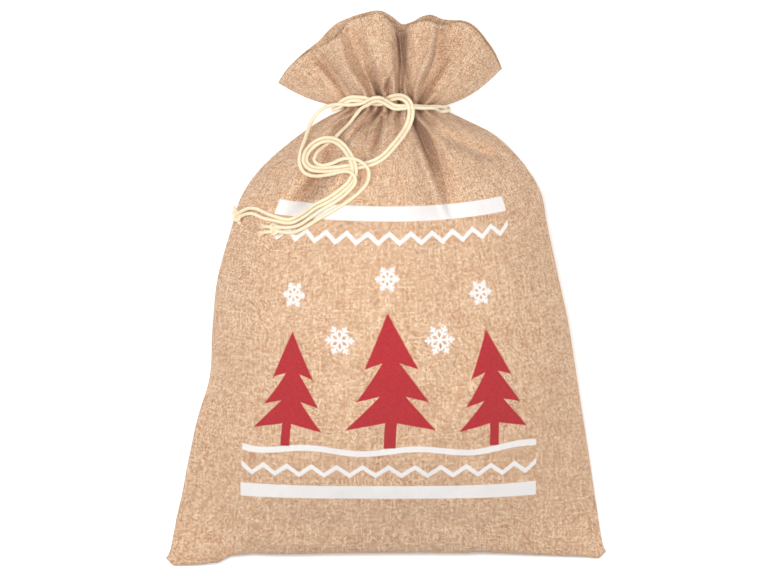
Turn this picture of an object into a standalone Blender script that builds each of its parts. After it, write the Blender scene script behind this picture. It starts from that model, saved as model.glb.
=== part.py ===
"""Burlap sack lying on its back: two sewn panels gathered at the neck, and its drawstrings.

Metres, +Z up. The sack lies on the plane z = 0 with its mouth towards +Y. Each panel is
a cloth whose flat cut is PANEL_WIDTH across and PANEL_LENGTH from the bottom seam to the
mouth. A place on the cloth is written (across, along): across runs from -1 at the left
side seam to +1 at the right one, and along is the distance from the bottom seam.
"""

import math

import bpy
import numpy as np
from mathutils.bvhtree import BVHTree

# ---------------------------------------------------------------- driving dimensions
PANEL_WIDTH = 0.500
PANEL_LENGTH = 0.700
CLOTH_THICKNESS = 0.0016
SEAM_GAP = 0.0008  # between the two panels where they are sewn
NECK = 0.590  # along the cloth to the middle of the drawstring channel
CORD_DIAMETER = 0.0041
CORD_GAP = 0.0009  # between a strand and the cloth it lies on
CROSSING_GAP = 0.0011  # between two strands where one lies over the other
PAIR_SPACING = 0.0047  # between the centrelines of two strands that run side by side
PAIR_GAP = 0.0004  # between two such strands where their turns bring them closer

# Plan of the body: both side seams, and the middle line of each panel.
BODY_COLUMNS = ("along", "left_x", "left_y", "right_x", "right_y", "front_y", "back_y")
BODY = np.array(
    [
        (0.000, -0.2500, -0.3053, 0.2508, -0.2974, -0.2985, -0.2985),
        (0.020, -0.2440, -0.2870, 0.2465, -0.2810, -0.2850, -0.2830),
        (0.040, -0.2395, -0.2680, 0.2425, -0.2630, -0.2700, -0.2655),
        (0.070, -0.2325, -0.2400, 0.2378, -0.2360, -0.2480, -0.2390),
        (0.120, -0.2235, -0.1950, 0.2305, -0.1890, -0.2080, -0.1950),
        (0.170, -0.2120, -0.1440, 0.2225, -0.1390, -0.1640, -0.1510),
        (0.215, -0.1990, -0.1010, 0.2150, -0.0920, -0.1220, -0.1110),
        (0.270, -0.1955, -0.0460, 0.2060, -0.0360, -0.0680, -0.0600),
        (0.330, -0.1895, 0.0120, 0.1930, 0.0230, -0.0080, -0.0060),
        (0.385, -0.1750, 0.0650, 0.1820, 0.0750, 0.0465, 0.0410),
        (0.425, -0.1630, 0.1040, 0.1745, 0.1110, 0.0850, 0.0780),
        (0.465, -0.1410, 0.1360, 0.1530, 0.1450, 0.1215, 0.1140),
        (0.500, -0.1140, 0.1610, 0.1260, 0.1720, 0.1520, 0.1430),
        (0.535, -0.0860, 0.1820, 0.0950, 0.1890, 0.1785, 0.1705),
        (0.562, -0.0620, 0.1965, 0.0700, 0.2005, 0.1940, 0.1895),
        (0.578, -0.0475, 0.2030, 0.0605, 0.2045, 0.2020, 0.1995),
        (0.590, -0.0450, 0.2078, 0.0585, 0.2082, 0.2085, 0.2075),
    ]
)

# Heights of the side seams and of the middle of each panel. The back's heights below
# zero are pressed flat by the floor.
HEIGHT_COLUMNS = ("along", "seam", "front", "back")
HEIGHTS = np.array(
    [
        (0.000, 0.006, 0.026, 0.026),
        (0.030, 0.009, 0.048, 0.010),
        (0.070, 0.017, 0.076, -0.008),
        (0.120, 0.028, 0.105, -0.020),
        (0.180, 0.042, 0.133, -0.027),
        (0.250, 0.056, 0.151, -0.030),
        (0.320, 0.062, 0.157, -0.030),
        (0.390, 0.064, 0.153, -0.028),
        (0.450, 0.063, 0.141, -0.022),
        (0.500, 0.060, 0.122, -0.008),
        (0.540, 0.056, 0.103, 0.008),
        (0.570, 0.053, 0.088, 0.020),
        (0.590, 0.052, 0.081, 0.026),
        (0.610, 0.049, 0.087, 0.022),
        (0.640, 0.038, 0.093, 0.013),
        (0.670, 0.024, 0.092, 0.008),
        (0.700, 0.012, 0.086, 0.006),
    ]
)

# How the rows bulge: the angle of the arc that a row follows, how square its crown is,
# and how late its ends bend along the sack.
ROW_COLUMNS = ("along", "arc", "crown", "bend")
ROWS = np.array(
    [
        (0.00, 0.15, 2.5, 7.0),
        (0.06, 0.55, 2.3, 4.0),
        (0.15, 0.95, 2.1, 2.5),
        (0.30, 1.03, 2.0, 2.0),
        (0.45, 0.95, 2.1, 2.0),
        (0.53, 0.70, 2.6, 2.0),
        (0.59, 0.20, 4.0, 2.0),
        (0.64, 0.20, 3.4, 2.0),
        (0.70, 0.20, 3.0, 2.0),
    ]
)

# The bottom seam in plan: two blunt corners, and a pucker that lets the left one hang.
BOTTOM_COLUMNS = ("across", "y")
BOTTOM = np.array(
    [
        (-1.000, -0.3053),
        (-0.966, -0.3146),
        (-0.850, -0.3130),
        (-0.760, -0.3105),
        (-0.700, -0.3022),
        (-0.600, -0.2998),
        (-0.500, -0.3010),
        (-0.180, -0.2993),
        (0.200, -0.2988),
        (0.350, -0.2998),
        (0.420, -0.2983),
        (0.660, -0.3012),
        (0.910, -0.3041),
        (0.966, -0.3066),
        (1.000, -0.2974),
    ]
)
BOTTOM_REACH = 0.055  # how far up the cloth the bottom seam's line is felt

# The mouth spreads as a fan round FAN_CENTRE, from the left tip to the right tip. At the
# side seams it first spreads sideways and then rises, by the two powers of its opening.
FAN_CENTRE = (0.0075, 0.190)
FAN_LEFT, FAN_RIGHT = math.radians(161.0), math.radians(26.0)
FAN_SPREAD_POWER, FAN_RISE_POWER = (1.35, 0.95), (1.0, 1.75)  # in the middle, at the seams
MOUTH_COLUMNS = ("across", "front_radius", "back_radius")
MOUTH = np.array(
    [
        (-1.00, 0.1355, 0.1366),
        (-0.77, 0.1255, 0.1278),
        (-0.58, 0.1145, 0.1229),
        (-0.37, 0.1145, 0.1272),
        (-0.30, 0.1200, 0.1270),
        (-0.17, 0.1203, 0.1266),
        (-0.03, 0.1190, 0.1250),
        (0.05, 0.1080, 0.1180),
        (0.12, 0.1000, 0.1110),
        (0.22, 0.1090, 0.1145),
        (0.33, 0.1180, 0.1275),
        (0.45, 0.1205, 0.1290),
        (0.60, 0.1365, 0.1410),
        (0.80, 0.1375, 0.1403),
        (1.00, 0.1366, 0.1381),
    ]
)

# Pleats gathered by the drawstring, from left to right. Each is a valley that starts at
# `neck` and drifts to `body` down the sack and to `mouth` up the ruffle. The reaches say
# how far it stays deep each way, the depths how much deeper it gets there than at the
# neck, and the widths are shares of the panel's half width.
PLEAT_COLUMNS = (
    "neck", "body", "mouth", "reach_down", "reach_up",
    "depth_down", "depth_up", "left_width", "right_width", "spread",
)
PLEAT_DEPTH = 0.0225
PLEAT_DRIFT = 0.045
PLEAT_DEEPENING = 0.022
FRONT_PLEATS = np.array(
    [
        (-0.86, -0.72, -0.64, 0.075, 0.095, 1.0, 1.2, 0.11, 0.12, 0.9),
        (-0.62, -0.50, -0.50, 0.150, 0.026, 1.5, 1.0, 0.12, 0.10, 0.9),
        (-0.42, -0.40, -0.38, 0.032, 0.050, 1.0, 1.0, 0.10, 0.10, 0.3),
        (-0.23, -0.25, -0.30, 0.090, 0.085, 1.2, 1.1, 0.10, 0.09, 0.7),
        (-0.04, 0.00, -0.06, 0.032, 0.028, 1.0, 1.0, 0.09, 0.10, 0.3),
        (0.18, 0.15, 0.12, 0.040, 0.150, 1.0, 1.7, 0.11, 0.10, 0.3),
        (0.40, 0.29, 0.40, 0.140, 0.040, 1.7, 1.0, 0.09, 0.12, 1.3),
        (0.62, 0.50, 0.62, 0.075, 0.095, 1.2, 1.3, 0.12, 0.11, 0.8),
        (0.83, 0.74, 0.84, 0.040, 0.028, 1.0, 1.0, 0.10, 0.11, 0.3),
    ]
)
BACK_PLEATS = np.array(
    [
        (-0.84, -0.76, -0.80, 0.050, 0.070, 1.0, 1.0, 0.12, 0.13, 0.8),
        (-0.58, -0.50, -0.52, 0.110, 0.090, 1.2, 1.0, 0.13, 0.13, 0.8),
        (-0.31, -0.30, -0.30, 0.036, 0.040, 1.0, 1.0, 0.13, 0.13, 0.3),
        (-0.05, -0.04, -0.06, 0.095, 0.100, 1.2, 1.0, 0.13, 0.13, 0.8),
        (0.22, 0.20, 0.20, 0.036, 0.040, 1.0, 1.0, 0.13, 0.13, 0.3),
        (0.48, 0.42, 0.46, 0.100, 0.090, 1.2, 1.0, 0.13, 0.13, 0.8),
        (0.75, 0.66, 0.74, 0.060, 0.070, 1.0, 1.0, 0.13, 0.12, 0.7),
    ]
)

# Soft creases away from the neck: a valley from one place on the cloth to another.
CREASE_COLUMNS = ("across_1", "along_1", "across_2", "along_2", "half_width", "depth")
FRONT_CREASES = np.array(
    [
        (-0.97, 0.215, -0.78, 0.110, 0.030, 0.0060),
        (-0.50, 0.470, -0.72, 0.355, 0.042, 0.0080),
        (-0.80, 0.470, -0.70, 0.430, 0.026, 0.0050),
        (0.38, 0.265, 0.16, 0.190, 0.026, 0.0040),
        (0.80, 0.140, 0.84, 0.200, 0.028, 0.0040),
        (0.72, 0.500, 0.90, 0.480, 0.024, 0.0050),
        (-0.70, 0.020, -0.62, 0.004, 0.022, 0.0050),
        (0.27, 0.018, 0.30, 0.004, 0.022, 0.0030),
    ]
)
BACK_CREASES = np.array(
    [
        (-0.55, 0.110, 0.35, 0.095, 0.034, 0.0070),
        (-0.30, 0.455, 0.55, 0.470, 0.036, 0.0080),
        (-0.90, 0.230, -0.72, 0.150, 0.032, 0.0060),
        (0.88, 0.260, 0.74, 0.180, 0.032, 0.0060),
    ]
)

BOTTOM_HOLD = 0.03  # how far up from the bottom seam creases are held back

# Each side seam is open round the channel, for the drawstring.
SLOT_HALF_LENGTH = 0.024
SLOT_RAMP = 0.012
SLOT_RISE = 0.0054

# Columns of a panel between two pleats, those between a seam and its nearest pleat as
# shares of the way, and the rows.
STEPS_PER_PLEAT = 5
SEAM_SHARES = (0.0, 0.12, 0.4, 0.7)
PANEL_ROWS = (
    0.0, 0.014, 0.034, 0.065, 0.100, 0.140, 0.185, 0.230, 0.275, 0.320, 0.365, 0.405, 0.440,
    0.470, 0.497, 0.520, 0.541, 0.560, 0.576, 0.590, 0.604, 0.620, 0.640, 0.662, 0.682, 0.700,
)

# Routes of the drawstrings. Each starts inside the neck, turns round the edge of the
# front panel and lies down. `exit` points have their own height, and the others lie on
# what is under them: a strand lies over those of a lower layer.
ROUTE_COLUMNS = ("x", "y", "layer", "apart")
LEFT_EXITS = (
    np.array(
        [
            (-0.0400, 0.2074, 0.0548),
            (-0.0450, 0.2070, 0.0545),
            (-0.0515, 0.2050, 0.0560),
            (-0.0546, 0.2052, 0.0620),
            (-0.0524, 0.2100, 0.0700),
        ]
    ),
    np.array(
        [
            (-0.0400, 0.2074, 0.0500),
            (-0.0450, 0.2068, 0.0497),
            (-0.0540, 0.2044, 0.0512),
            (-0.0588, 0.2035, 0.0570),
            (-0.0592, 0.2026, 0.0645),
            (-0.0548, 0.2036, 0.0706),
        ]
    ),
)
LEFT_ROUTE = np.array(
    [
        (-0.0410, 0.2149, 1, 1.0),
        (-0.0305, 0.2147, 1, 1.0),
        (-0.0224, 0.2137, 1, 1.0),
        (-0.0168, 0.2117, 1, 1.0),
        (-0.0087, 0.2105, 1, 1.0),
        (-0.0006, 0.2119, 1, 1.0),
        (0.0067, 0.2155, 1, 1.0),
        (0.0150, 0.2168, 1, 1.0),
        (0.0225, 0.2142, 1, 1.0),
        (0.0277, 0.2070, 1, 1.0),
        (0.0287, 0.1970, 1, 1.0),
        (0.0252, 0.1842, 1, 1.0),
        (0.0185, 0.1730, 1, 1.0),
        (0.0090, 0.1610, 1, 1.0),
        (-0.0010, 0.1500, 1, 1.0),
        (-0.0120, 0.1430, 1, 1.0),
        (-0.0260, 0.1390, 1, 1.0),
        (-0.0400, 0.1370, 1, 1.0),
        (-0.0570, 0.1350, 1, 1.0),
        (-0.0740, 0.1345, 1, 1.0),
        (-0.0850, 0.1370, 1, 1.0),
        (-0.0905, 0.1440, 1, 1.0),
        (-0.0890, 0.1530, 2, 1.0),
        (-0.0820, 0.1620, 2, 1.0),
        (-0.0710, 0.1680, 2, 1.0),
        (-0.0590, 0.1680, 2, 1.0),
        (-0.0490, 0.1620, 2, 1.0),
        (-0.0420, 0.1530, 2, 1.0),
        (-0.0370, 0.1430, 2, 1.0),
        (-0.0350, 0.1320, 2, 1.0),
        (-0.0390, 0.1210, 2, 1.0),
        (-0.0490, 0.1110, 2, 1.0),
        (-0.0630, 0.1010, 2, 1.0),
        (-0.0800, 0.0920, 2, 1.0),
        (-0.0940, 0.0820, 2, 1.0),
        (-0.1080, 0.0762, 2, 1.0),
        (-0.1220, 0.0785, 2, 1.0),
        (-0.1370, 0.0830, 2, 1.5),
        (-0.1500, 0.0880, 2, 1.5),
        (-0.1600, 0.0855, 2, 1.0),
    ]
)
RIGHT_EXITS = (
    np.array(
        [
            (0.0535, 0.2076, 0.0548),
            (0.0585, 0.2072, 0.0545),
            (0.0650, 0.2056, 0.0560),
            (0.0676, 0.2053, 0.0620),
            (0.0640, 0.2060, 0.0690),
        ]
    ),
    np.array(
        [
            (0.0535, 0.2076, 0.0500),
            (0.0585, 0.2070, 0.0497),
            (0.0675, 0.2050, 0.0512),
            (0.0718, 0.2038, 0.0570),
            (0.0705, 0.2018, 0.0645),
            (0.0640, 0.2008, 0.0710),
        ]
    ),
)
RIGHT_OUTER_ROUTE = np.array(
    [
        (0.0540, 0.2060, 0, 0.0),
        (0.0399, 0.2060, 0, 0.0),
        (0.0286, 0.2068, 0, 0.0),
        (0.0190, 0.2056, 0, 0.0),
        (0.0095, 0.2066, 3, 0.0),
        (0.0015, 0.2125, 3, 0.0),
        (-0.0060, 0.2186, 3, 0.0),
        (-0.0140, 0.2185, 3, 0.0),
        (-0.0205, 0.2135, 3, 0.0),
        (-0.0275, 0.2095, 3, 0.0),
        (-0.0410, 0.2080, 3, 0.0),
        (-0.0573, 0.2085, 3, 0.0),
        (-0.0690, 0.2050, 3, 0.0),
        (-0.0795, 0.1960, 0, 0.0),
        (-0.0865, 0.1830, 0, 0.0),
        (-0.0910, 0.1690, 0, 0.0),
        (-0.0960, 0.1540, 0, 0.0),
        (-0.0970, 0.1420, 0, 0.0),
        (-0.0930, 0.1325, 0, 0.0),
        (-0.0830, 0.1275, 3, 0.0),
        (-0.0710, 0.1275, 3, 0.0),
        (-0.0590, 0.1295, 3, 0.0),
        (-0.0480, 0.1320, 3, 0.0),
        (-0.0380, 0.1300, 3, 0.0),
        (-0.0345, 0.1210, 3, 0.0),
        (-0.0410, 0.1100, 3, 0.0),
        (-0.0530, 0.1000, 3, 0.0),
        (-0.0690, 0.0905, 3, 0.0),
        (-0.0850, 0.0795, 3, 0.0),
        (-0.0990, 0.0710, 3, 0.0),
        (-0.1120, 0.0685, 3, 0.0),
    ]
)
RIGHT_INNER_ROUTE = np.array(
    [
        (0.0540, 0.2013, 0, 0.0),
        (0.0399, 0.2013, 0, 0.0),
        (0.0286, 0.2021, 0, 0.0),
        (0.0190, 0.2009, 0, 0.0),
        (0.0092, 0.2014, 3, 0.0),
        (0.0010, 0.2068, 3, 0.0),
        (-0.0068, 0.2135, 3, 0.0),
        (-0.0130, 0.2135, 3, 0.0),
        (-0.0190, 0.2090, 3, 0.0),
        (-0.0265, 0.2045, 3, 0.0),
        (-0.0330, 0.1975, 3, 0.0),
        (-0.0400, 0.1880, 0, 0.0),
        (-0.0490, 0.1790, 0, 0.0),
        (-0.0580, 0.1700, 0, 0.0),
        (-0.0690, 0.1610, 0, 0.0),
        (-0.0780, 0.1520, 4, 0.0),
        (-0.0800, 0.1440, 4, 0.0),
        (-0.0730, 0.1395, 4, 0.0),
        (-0.0600, 0.1415, 4, 0.0),
        (-0.0490, 0.1460, 4, 0.0),
        (-0.0370, 0.1465, 4, 0.0),
        (-0.0260, 0.1420, 4, 0.0),
        (-0.0190, 0.1330, 4, 0.0),
        (-0.0200, 0.1210, 4, 0.0),
        (-0.0290, 0.1090, 4, 0.0),
        (-0.0430, 0.0980, 4, 0.0),
        (-0.0590, 0.0880, 4, 0.0),
        (-0.0760, 0.0780, 4, 0.0),
        (-0.0910, 0.0690, 4, 0.0),
        (-0.1050, 0.0635, 4, 0.0),
        (-0.1140, 0.0640, 4, 0.0),
    ]
)
ROUTE_STEP = 0.0082  # between the points of a strand's tube
CUT_STEP = 0.0002  # how finely a strand is cut off before its knot
SOLVE_STEP = 0.0025  # between the points that its height is worked out at
BEND_RADIUS = 0.014  # how tightly a strand bends over what it lies on
SOLVE_ROUNDS = 8
SELF_APART = 0.030  # along a strand, before it can lie over itself
KEPT_EVERY = 2  # of the points whose height is worked out, those that the tube passes through
KNOT_LEAD = 3  # of those points, the last ones, which give way to the turn into the knot
STRAND_RESOLUTION = 2  # bevel resolution of a strand's tube

# Overhand knots: where they lie, their half sizes, and how deep the turns' grooves are.
KNOT_RADII = (0.0066, 0.0058, 0.0046)
KNOT_GROOVE = 0.0006
KNOT_GAP = 0.0004  # between a knot and the cloth or a strand's end
KNOT_COLUMNS, KNOT_ROWS = 16, 12
KNOT_LEFT, KNOT_LEFT_HEADING = (-0.1672, 0.0830), math.radians(106.0)
KNOT_RIGHT, KNOT_RIGHT_HEADING = (-0.1247, 0.0672), math.radians(100.0)
# Ends of the cords past each knot: heading, offset to its left, and length.
LEFT_ENDS = np.array([(math.radians(112.0), 0.0, 0.0062), (math.radians(283.0), 0.0, 0.0045)])
RIGHT_ENDS = np.array([(math.radians(184.0), 0.0024, 0.0150), (math.radians(177.0), -0.0024, 0.0120)])
END_STEP = 0.003
END_SLOPE = 0.35  # how steeply an end comes down from the knot towards the cloth

BURLAP = (0.66, 0.40, 0.25, 1.0)
COTTON = (0.85, 0.76, 0.55, 1.0)


# ---------------------------------------------------------------- tables and curves
def column(table, names, name):
    """One named column of a table."""
    return table[:, names.index(name)]


def through(knots, values, at):
    """Smooth curve through (knots, values), read at `at`: a cubic between each two knots."""
    slopes = np.gradient(values, knots)
    at = np.clip(at, knots[0], knots[-1])
    right = np.clip(np.searchsorted(knots, at), 1, len(knots) - 1)
    left = right - 1
    step = knots[right] - knots[left]
    t = (at - knots[left]) / step
    return (
        (1 + 2 * t) * (1 - t) ** 2 * values[left]
        + t * (1 - t) ** 2 * step * slopes[left]
        + t * t * (3 - 2 * t) * values[right]
        + t * t * (t - 1) * step * slopes[right]
    )


def read(table, names, name, at):
    """A named column of a table, read smoothly at values of the table's first column."""
    return through(table[:, 0], column(table, names, name), at)


def bump(distance, half_width):
    """1 in the middle, falling smoothly to 0 at half_width on either side."""
    u = np.clip(np.abs(distance) / half_width, 0.0, 1.0)
    return (1 - u) ** 2 * (1 + 2 * u)


def smoothstep(value):
    """0 up to 0, 1 from 1 on, and a smooth rise between."""
    u = np.clip(value, 0.0, 1.0)
    return u * u * (3 - 2 * u)


# ---------------------------------------------------------------- the cloth
def pleat_centres(pleats, along):
    """Where each pleat's valley lies across the panel, one row of values for each pleat."""
    past = (along - NECK)[None, :]
    neck, body, mouth = (column(pleats, PLEAT_COLUMNS, n)[:, None] for n in ("neck", "body", "mouth"))
    drift = 1 - np.exp(-np.abs(past) / PLEAT_DRIFT)
    return neck + (np.where(past < 0, body, mouth) - neck) * drift


def pleat_depth(pleats, across, along):
    """How deep the gathers are: each a valley with a sharp foot and round shoulders."""
    total = np.zeros_like(across)
    past = along - NECK
    centres = pleat_centres(pleats, along.ravel()).reshape(len(pleats), *along.shape)
    for pleat, centre in zip(pleats, centres):
        row = dict(zip(PLEAT_COLUMNS, pleat))
        away = np.where(past < 0, -past / row["reach_down"], past / row["reach_up"])
        widen = 1 + row["spread"] * np.minimum(away, 1.5)
        side = across - centre
        width = np.where(side < 0, row["left_width"], row["right_width"]) * widen
        u = np.clip(np.abs(side) / width, 0.0, 1.0)
        valley = (1 - u) ** 2 * (1 + u)
        deeper = np.where(past < 0, row["depth_down"], row["depth_up"]) - 1
        deepening = 1 + deeper * (1 - np.exp(-np.abs(past) / PLEAT_DEEPENING))
        total = total + (deepening * np.exp(-(away**1.5)) * valley) ** 4
    return PLEAT_DEPTH * total**0.25


def looseness(share, along):
    """How free the cloth is to crease: not at all where the two panels are sewn together."""
    return np.sqrt(share) * smoothstep(along / BOTTOM_HOLD)


def crease_depth(creases, across, along):
    """How deep the soft creases are: bumps about short straight lines on the flat cloth."""
    depth = np.zeros_like(across)
    half = PANEL_WIDTH / 2
    for crease in creases:
        row = dict(zip(CREASE_COLUMNS, crease))
        start = np.array([row["across_1"] * half, row["along_1"]])
        run = np.array([row["across_2"] * half, row["along_2"]]) - start
        share = ((across * half - start[0]) * run[0] + (along - start[1]) * run[1]) / (run @ run)
        inside = np.clip(share, 0, 1)
        aside = np.hypot(
            across * half - start[0] - inside * run[0], along - start[1] - inside * run[1]
        )
        taper = 1 - 0.6 * (2 * inside - 1) ** 2
        depth = depth + row["depth"] * taper * bump(aside, row["half_width"])
    return depth


def body_plan(side, across, along):
    """Seen from above, rows follow arcs between the seams and bend towards their ends."""
    left_x, left_y, right_x, right_y, middle_y = (
        read(BODY, BODY_COLUMNS, name, along)
        for name in ("left_x", "left_y", "right_x", "right_y", side + "_y")
    )
    arc = read(ROWS, ROW_COLUMNS, "arc", along)
    bend = read(ROWS, ROW_COLUMNS, "bend", along)
    x = (left_x + right_x) / 2 + (right_x - left_x) / 2 * np.sin(arc * across) / np.sin(arc)
    side_y = np.where(across < 0, left_y, right_y)
    y = middle_y + (side_y - middle_y) * np.abs(across) ** bend
    hold = np.clip(1 - along / BOTTOM_REACH, 0, 1) ** 2
    return x, y + (np.interp(across, *BOTTOM.T) - y) * hold


def plan(side, across, along):
    """Where a place on a panel lies, seen from above: the body, then the ruffle's fan."""
    x, y = body_plan(side, across, np.minimum(along, NECK))
    opening = np.clip((along - NECK) / (PANEL_LENGTH - NECK), 0, 1)
    angle = (FAN_LEFT + FAN_RIGHT) / 2 + (FAN_RIGHT - FAN_LEFT) / 2 * across
    radius = read(MOUTH, MOUTH_COLUMNS, side + "_radius", across)
    fan_x = FAN_CENTRE[0] + radius * np.cos(angle)
    fan_y = FAN_CENTRE[1] + radius * np.sin(angle)
    seamward = np.abs(across) ** 3
    spread = opening ** (FAN_SPREAD_POWER[0] + (FAN_SPREAD_POWER[1] - FAN_SPREAD_POWER[0]) * seamward)
    rise = opening ** (FAN_RISE_POWER[0] + (FAN_RISE_POWER[1] - FAN_RISE_POWER[0]) * seamward)
    return x + (fan_x - x) * spread, y + (fan_y - y) * rise


def seam_parting(across, along):
    """Half the distance between the panels' middles at the seams, with the open slots."""
    slot = smoothstep((SLOT_HALF_LENGTH - np.abs(along - NECK)) / SLOT_RAMP)
    return (CLOTH_THICKNESS + SEAM_GAP) / 2 + SLOT_RISE * slot * smoothstep((np.abs(across) - 0.8) / 0.15)


def pressed(height, softness=0.005):
    """Heights with all that would lie under zero pressed flat, softly at the edge."""
    near = (height + softness) ** 2 / (4 * softness)
    return np.where(height > softness, height, np.where(height < -softness, 0.0, near))


def cloth(side, across, along):
    """The middle of the cloth's thickness: x, y and z of places on a panel."""
    x, y = plan(side, across, along)
    seam = read(HEIGHTS, HEIGHT_COLUMNS, "seam", along)
    middle = read(HEIGHTS, HEIGHT_COLUMNS, side, along)
    share = 1 - np.abs(across) ** read(ROWS, ROW_COLUMNS, "crown", along)
    parting = seam_parting(across, along)
    if side == "front":
        folds = pleat_depth(FRONT_PLEATS, across, along) * share
        folds = folds + crease_depth(FRONT_CREASES, across, along) * looseness(share, along)
        z = seam + (middle - seam) * share - folds + parting
    else:
        folds = pleat_depth(BACK_PLEATS, across, along) * share
        folds = folds + crease_depth(BACK_CREASES, across, along) * looseness(share, along)
        level = seam + (middle - seam) * share - parting - CLOTH_THICKNESS / 2
        z = pressed(level) + folds + CLOTH_THICKNESS / 2
    return np.stack([x, y, z], axis=-1)


def panel_grid(pleats):
    """Rows and columns of a panel: the columns run along the pleats' valleys and ridges."""
    along = np.array(PANEL_ROWS)
    edge = np.ones((1, len(along)))
    lines = np.concatenate([-edge, pleat_centres(pleats, along), edge]).T
    between = np.linspace(0, 1, STEPS_PER_PLEAT, endpoint=False)
    inner = len(pleats) - 1
    stations = np.concatenate(
        [
            SEAM_SHARES,
            *[1 + pleat + between for pleat in range(inner)],
            inner + 2 - np.array(SEAM_SHARES)[::-1],
        ]
    )
    across = np.array([np.interp(stations, np.arange(len(line)), line) for line in lines])
    return across, np.repeat(along[:, None], across.shape[1], axis=1)


def panel_object(name, side, pleats, material):
    """A panel as a sheet of triangles given its thickness."""
    across, along = panel_grid(pleats)
    points = cloth(side, across, along)
    rows, columns = across.shape
    index = np.arange(rows * columns).reshape(rows, columns)
    a, b, c, d = index[:-1, :-1], index[:-1, 1:], index[1:, 1:], index[1:, :-1]
    halves = [np.stack(corners, axis=-1).reshape(-1, 3) for corners in ((a, b, c), (a, c, d))]
    mesh = bpy.data.meshes.new(name)
    mesh.from_pydata(points.reshape(-1, 3).tolist(), [], np.concatenate(halves).tolist())
    mesh.shade_smooth()
    made = linked(name, mesh, material)
    thick = made.modifiers.new("cloth thickness", "SOLIDIFY")
    thick.thickness = CLOTH_THICKNESS
    thick.offset = 0.0
    return made


# ---------------------------------------------------------------- the drawstrings
def smooth_line(points, step):
    """A smooth curve through rows of points, with a point about every step along it."""
    chords = np.linalg.norm(np.diff(points, axis=0), axis=1)
    knots = np.concatenate([[0.0], np.cumsum(chords)])
    at = np.linspace(0, knots[-1], int(math.ceil(knots[-1] / step)) + 1)
    return np.stack([through(knots, points[:, i], at) for i in range(points.shape[1])], axis=-1)


def beside(points, offset):
    """Points moved sideways by offset, to the left of the direction they run in."""
    heading = np.gradient(points[:, :2], axis=0)
    heading /= np.linalg.norm(heading, axis=1)[:, None]
    moved = points.copy()
    moved[:, 0] -= heading[:, 1] * offset
    moved[:, 1] += heading[:, 0] * offset
    return moved


def lying_height(tree, x, y, radius, half_height=None):
    """Lowest height at which the middle of a round thing clears what is under it."""
    half_height = half_height or radius
    lowest = half_height
    for ring in (0.0, 0.35, 0.65, 0.9):
        rise = half_height * math.sqrt(1 - ring**2)
        for turn in range(12 if ring else 1):
            dx = radius * ring * math.cos(math.tau * turn / 12)
            dy = radius * ring * math.sin(math.tau * turn / 12)
            hit = tree.ray_cast((x + dx, y + dy, 1.0), (0, 0, -1))[0]
            lowest = max(lowest, (hit.z if hit else 0.0) + rise)
    return lowest


def drape(needed, at):
    """Lowest smooth heights over the needed ones: none bends tighter than BEND_RADIUS."""
    fall = (at[:, None] - at[None, :]) ** 2 / (2 * BEND_RADIUS)
    height = (needed[None, :] - fall).max(axis=1)
    for _ in range(4):
        padded = np.pad(height, 2, mode="edge")
        height = np.maximum(np.convolve(padded, (0.1, 0.25, 0.3, 0.25, 0.1), mode="valid"), needed)
    return height


class Strand:
    """One strand of a drawstring: its exit points, and the stretch that lies down."""

    def __init__(self, name, exit_points, route, offset, knot, tree):
        """Smooths the route in plan and finds how high the cloth holds each point."""
        self.name = name
        self.exit = exit_points
        x, y, layer, apart = (column(route, ROUTE_COLUMNS, n) for n in ROUTE_COLUMNS)
        fine = smooth_line(np.stack([x, y, layer * 0.001, apart * 0.001], axis=-1), SOLVE_STEP)
        self.layer = np.round(fine[:, 2] * 1000)
        self.line = beside(fine[:, :3], offset * fine[:, 3] * 1000)
        self.knot = knot
        away = self.line[-1, :2] - knot.place[:2]
        aside = np.array([away[1], -away[0], 0.0]) / np.linalg.norm(away)
        self.end = knot.place + aside * offset
        radius = CORD_DIAMETER / 2 + CORD_GAP
        self.on_cloth = np.array([lying_height(tree, x, y, radius) for x, y in self.line[:, :2]])
        self.line[:, 2] = self.on_cloth
        steps = np.linalg.norm(np.diff(self.line[:, :2], axis=0), axis=1)
        self.at = np.concatenate([[0.0], np.cumsum(steps)])

    def obstacle(self):
        """The strand with its exit, as other strands meet it: places, layers, distances."""
        head = smooth_line(np.concatenate([self.exit, self.line[:1]]), SOLVE_STEP)
        layers = np.concatenate([np.full(len(head), self.layer[0]), self.layer])
        return np.concatenate([head, self.line]), layers, np.concatenate([np.zeros(len(head)), self.at])

    def settle(self, strands):
        """Lays the strand over the cloth and over the strands, itself too, that lie under it."""
        needed = self.on_cloth
        mine = self.layer[:, None]
        for other in strands:
            line, layer, at = other.obstacle()
            gap = np.linalg.norm(self.line[:, None, :2] - line[None, :, :2], axis=2)
            if other is self:
                under = (layer < mine) & (np.abs(self.at[:, None] - at[None, :]) > SELF_APART)
            else:
                ties = strands.index(other) < strands.index(self)
                under = (layer < mine) | (ties & (layer == mine))
            clear = CORD_DIAMETER + np.where(layer < mine, CROSSING_GAP, PAIR_GAP)
            rise = line[None, :, 2] + np.sqrt(np.clip(clear**2 - gap**2, 0, None))
            needed = np.maximum(needed, np.where(under & (gap < clear), rise, 0.0).max(axis=1))
        self.line[:, 2] = drape(needed, self.at)

    def points(self):
        """The whole strand, from inside the neck to the outside of its knot."""
        lying = self.line[1 : -KNOT_LEAD : KEPT_EVERY]
        whole = smooth_line(np.concatenate([self.exit, lying, [self.end]]), CUT_STEP)
        last = len(whole) - 1
        while not self.knot.clears(whole[last], whole[last] - whole[last - 1]):
            last -= 1
        count = math.ceil(last * CUT_STEP / ROUTE_STEP) + 1
        return whole[np.round(np.linspace(0, last, count)).astype(int)]


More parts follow.
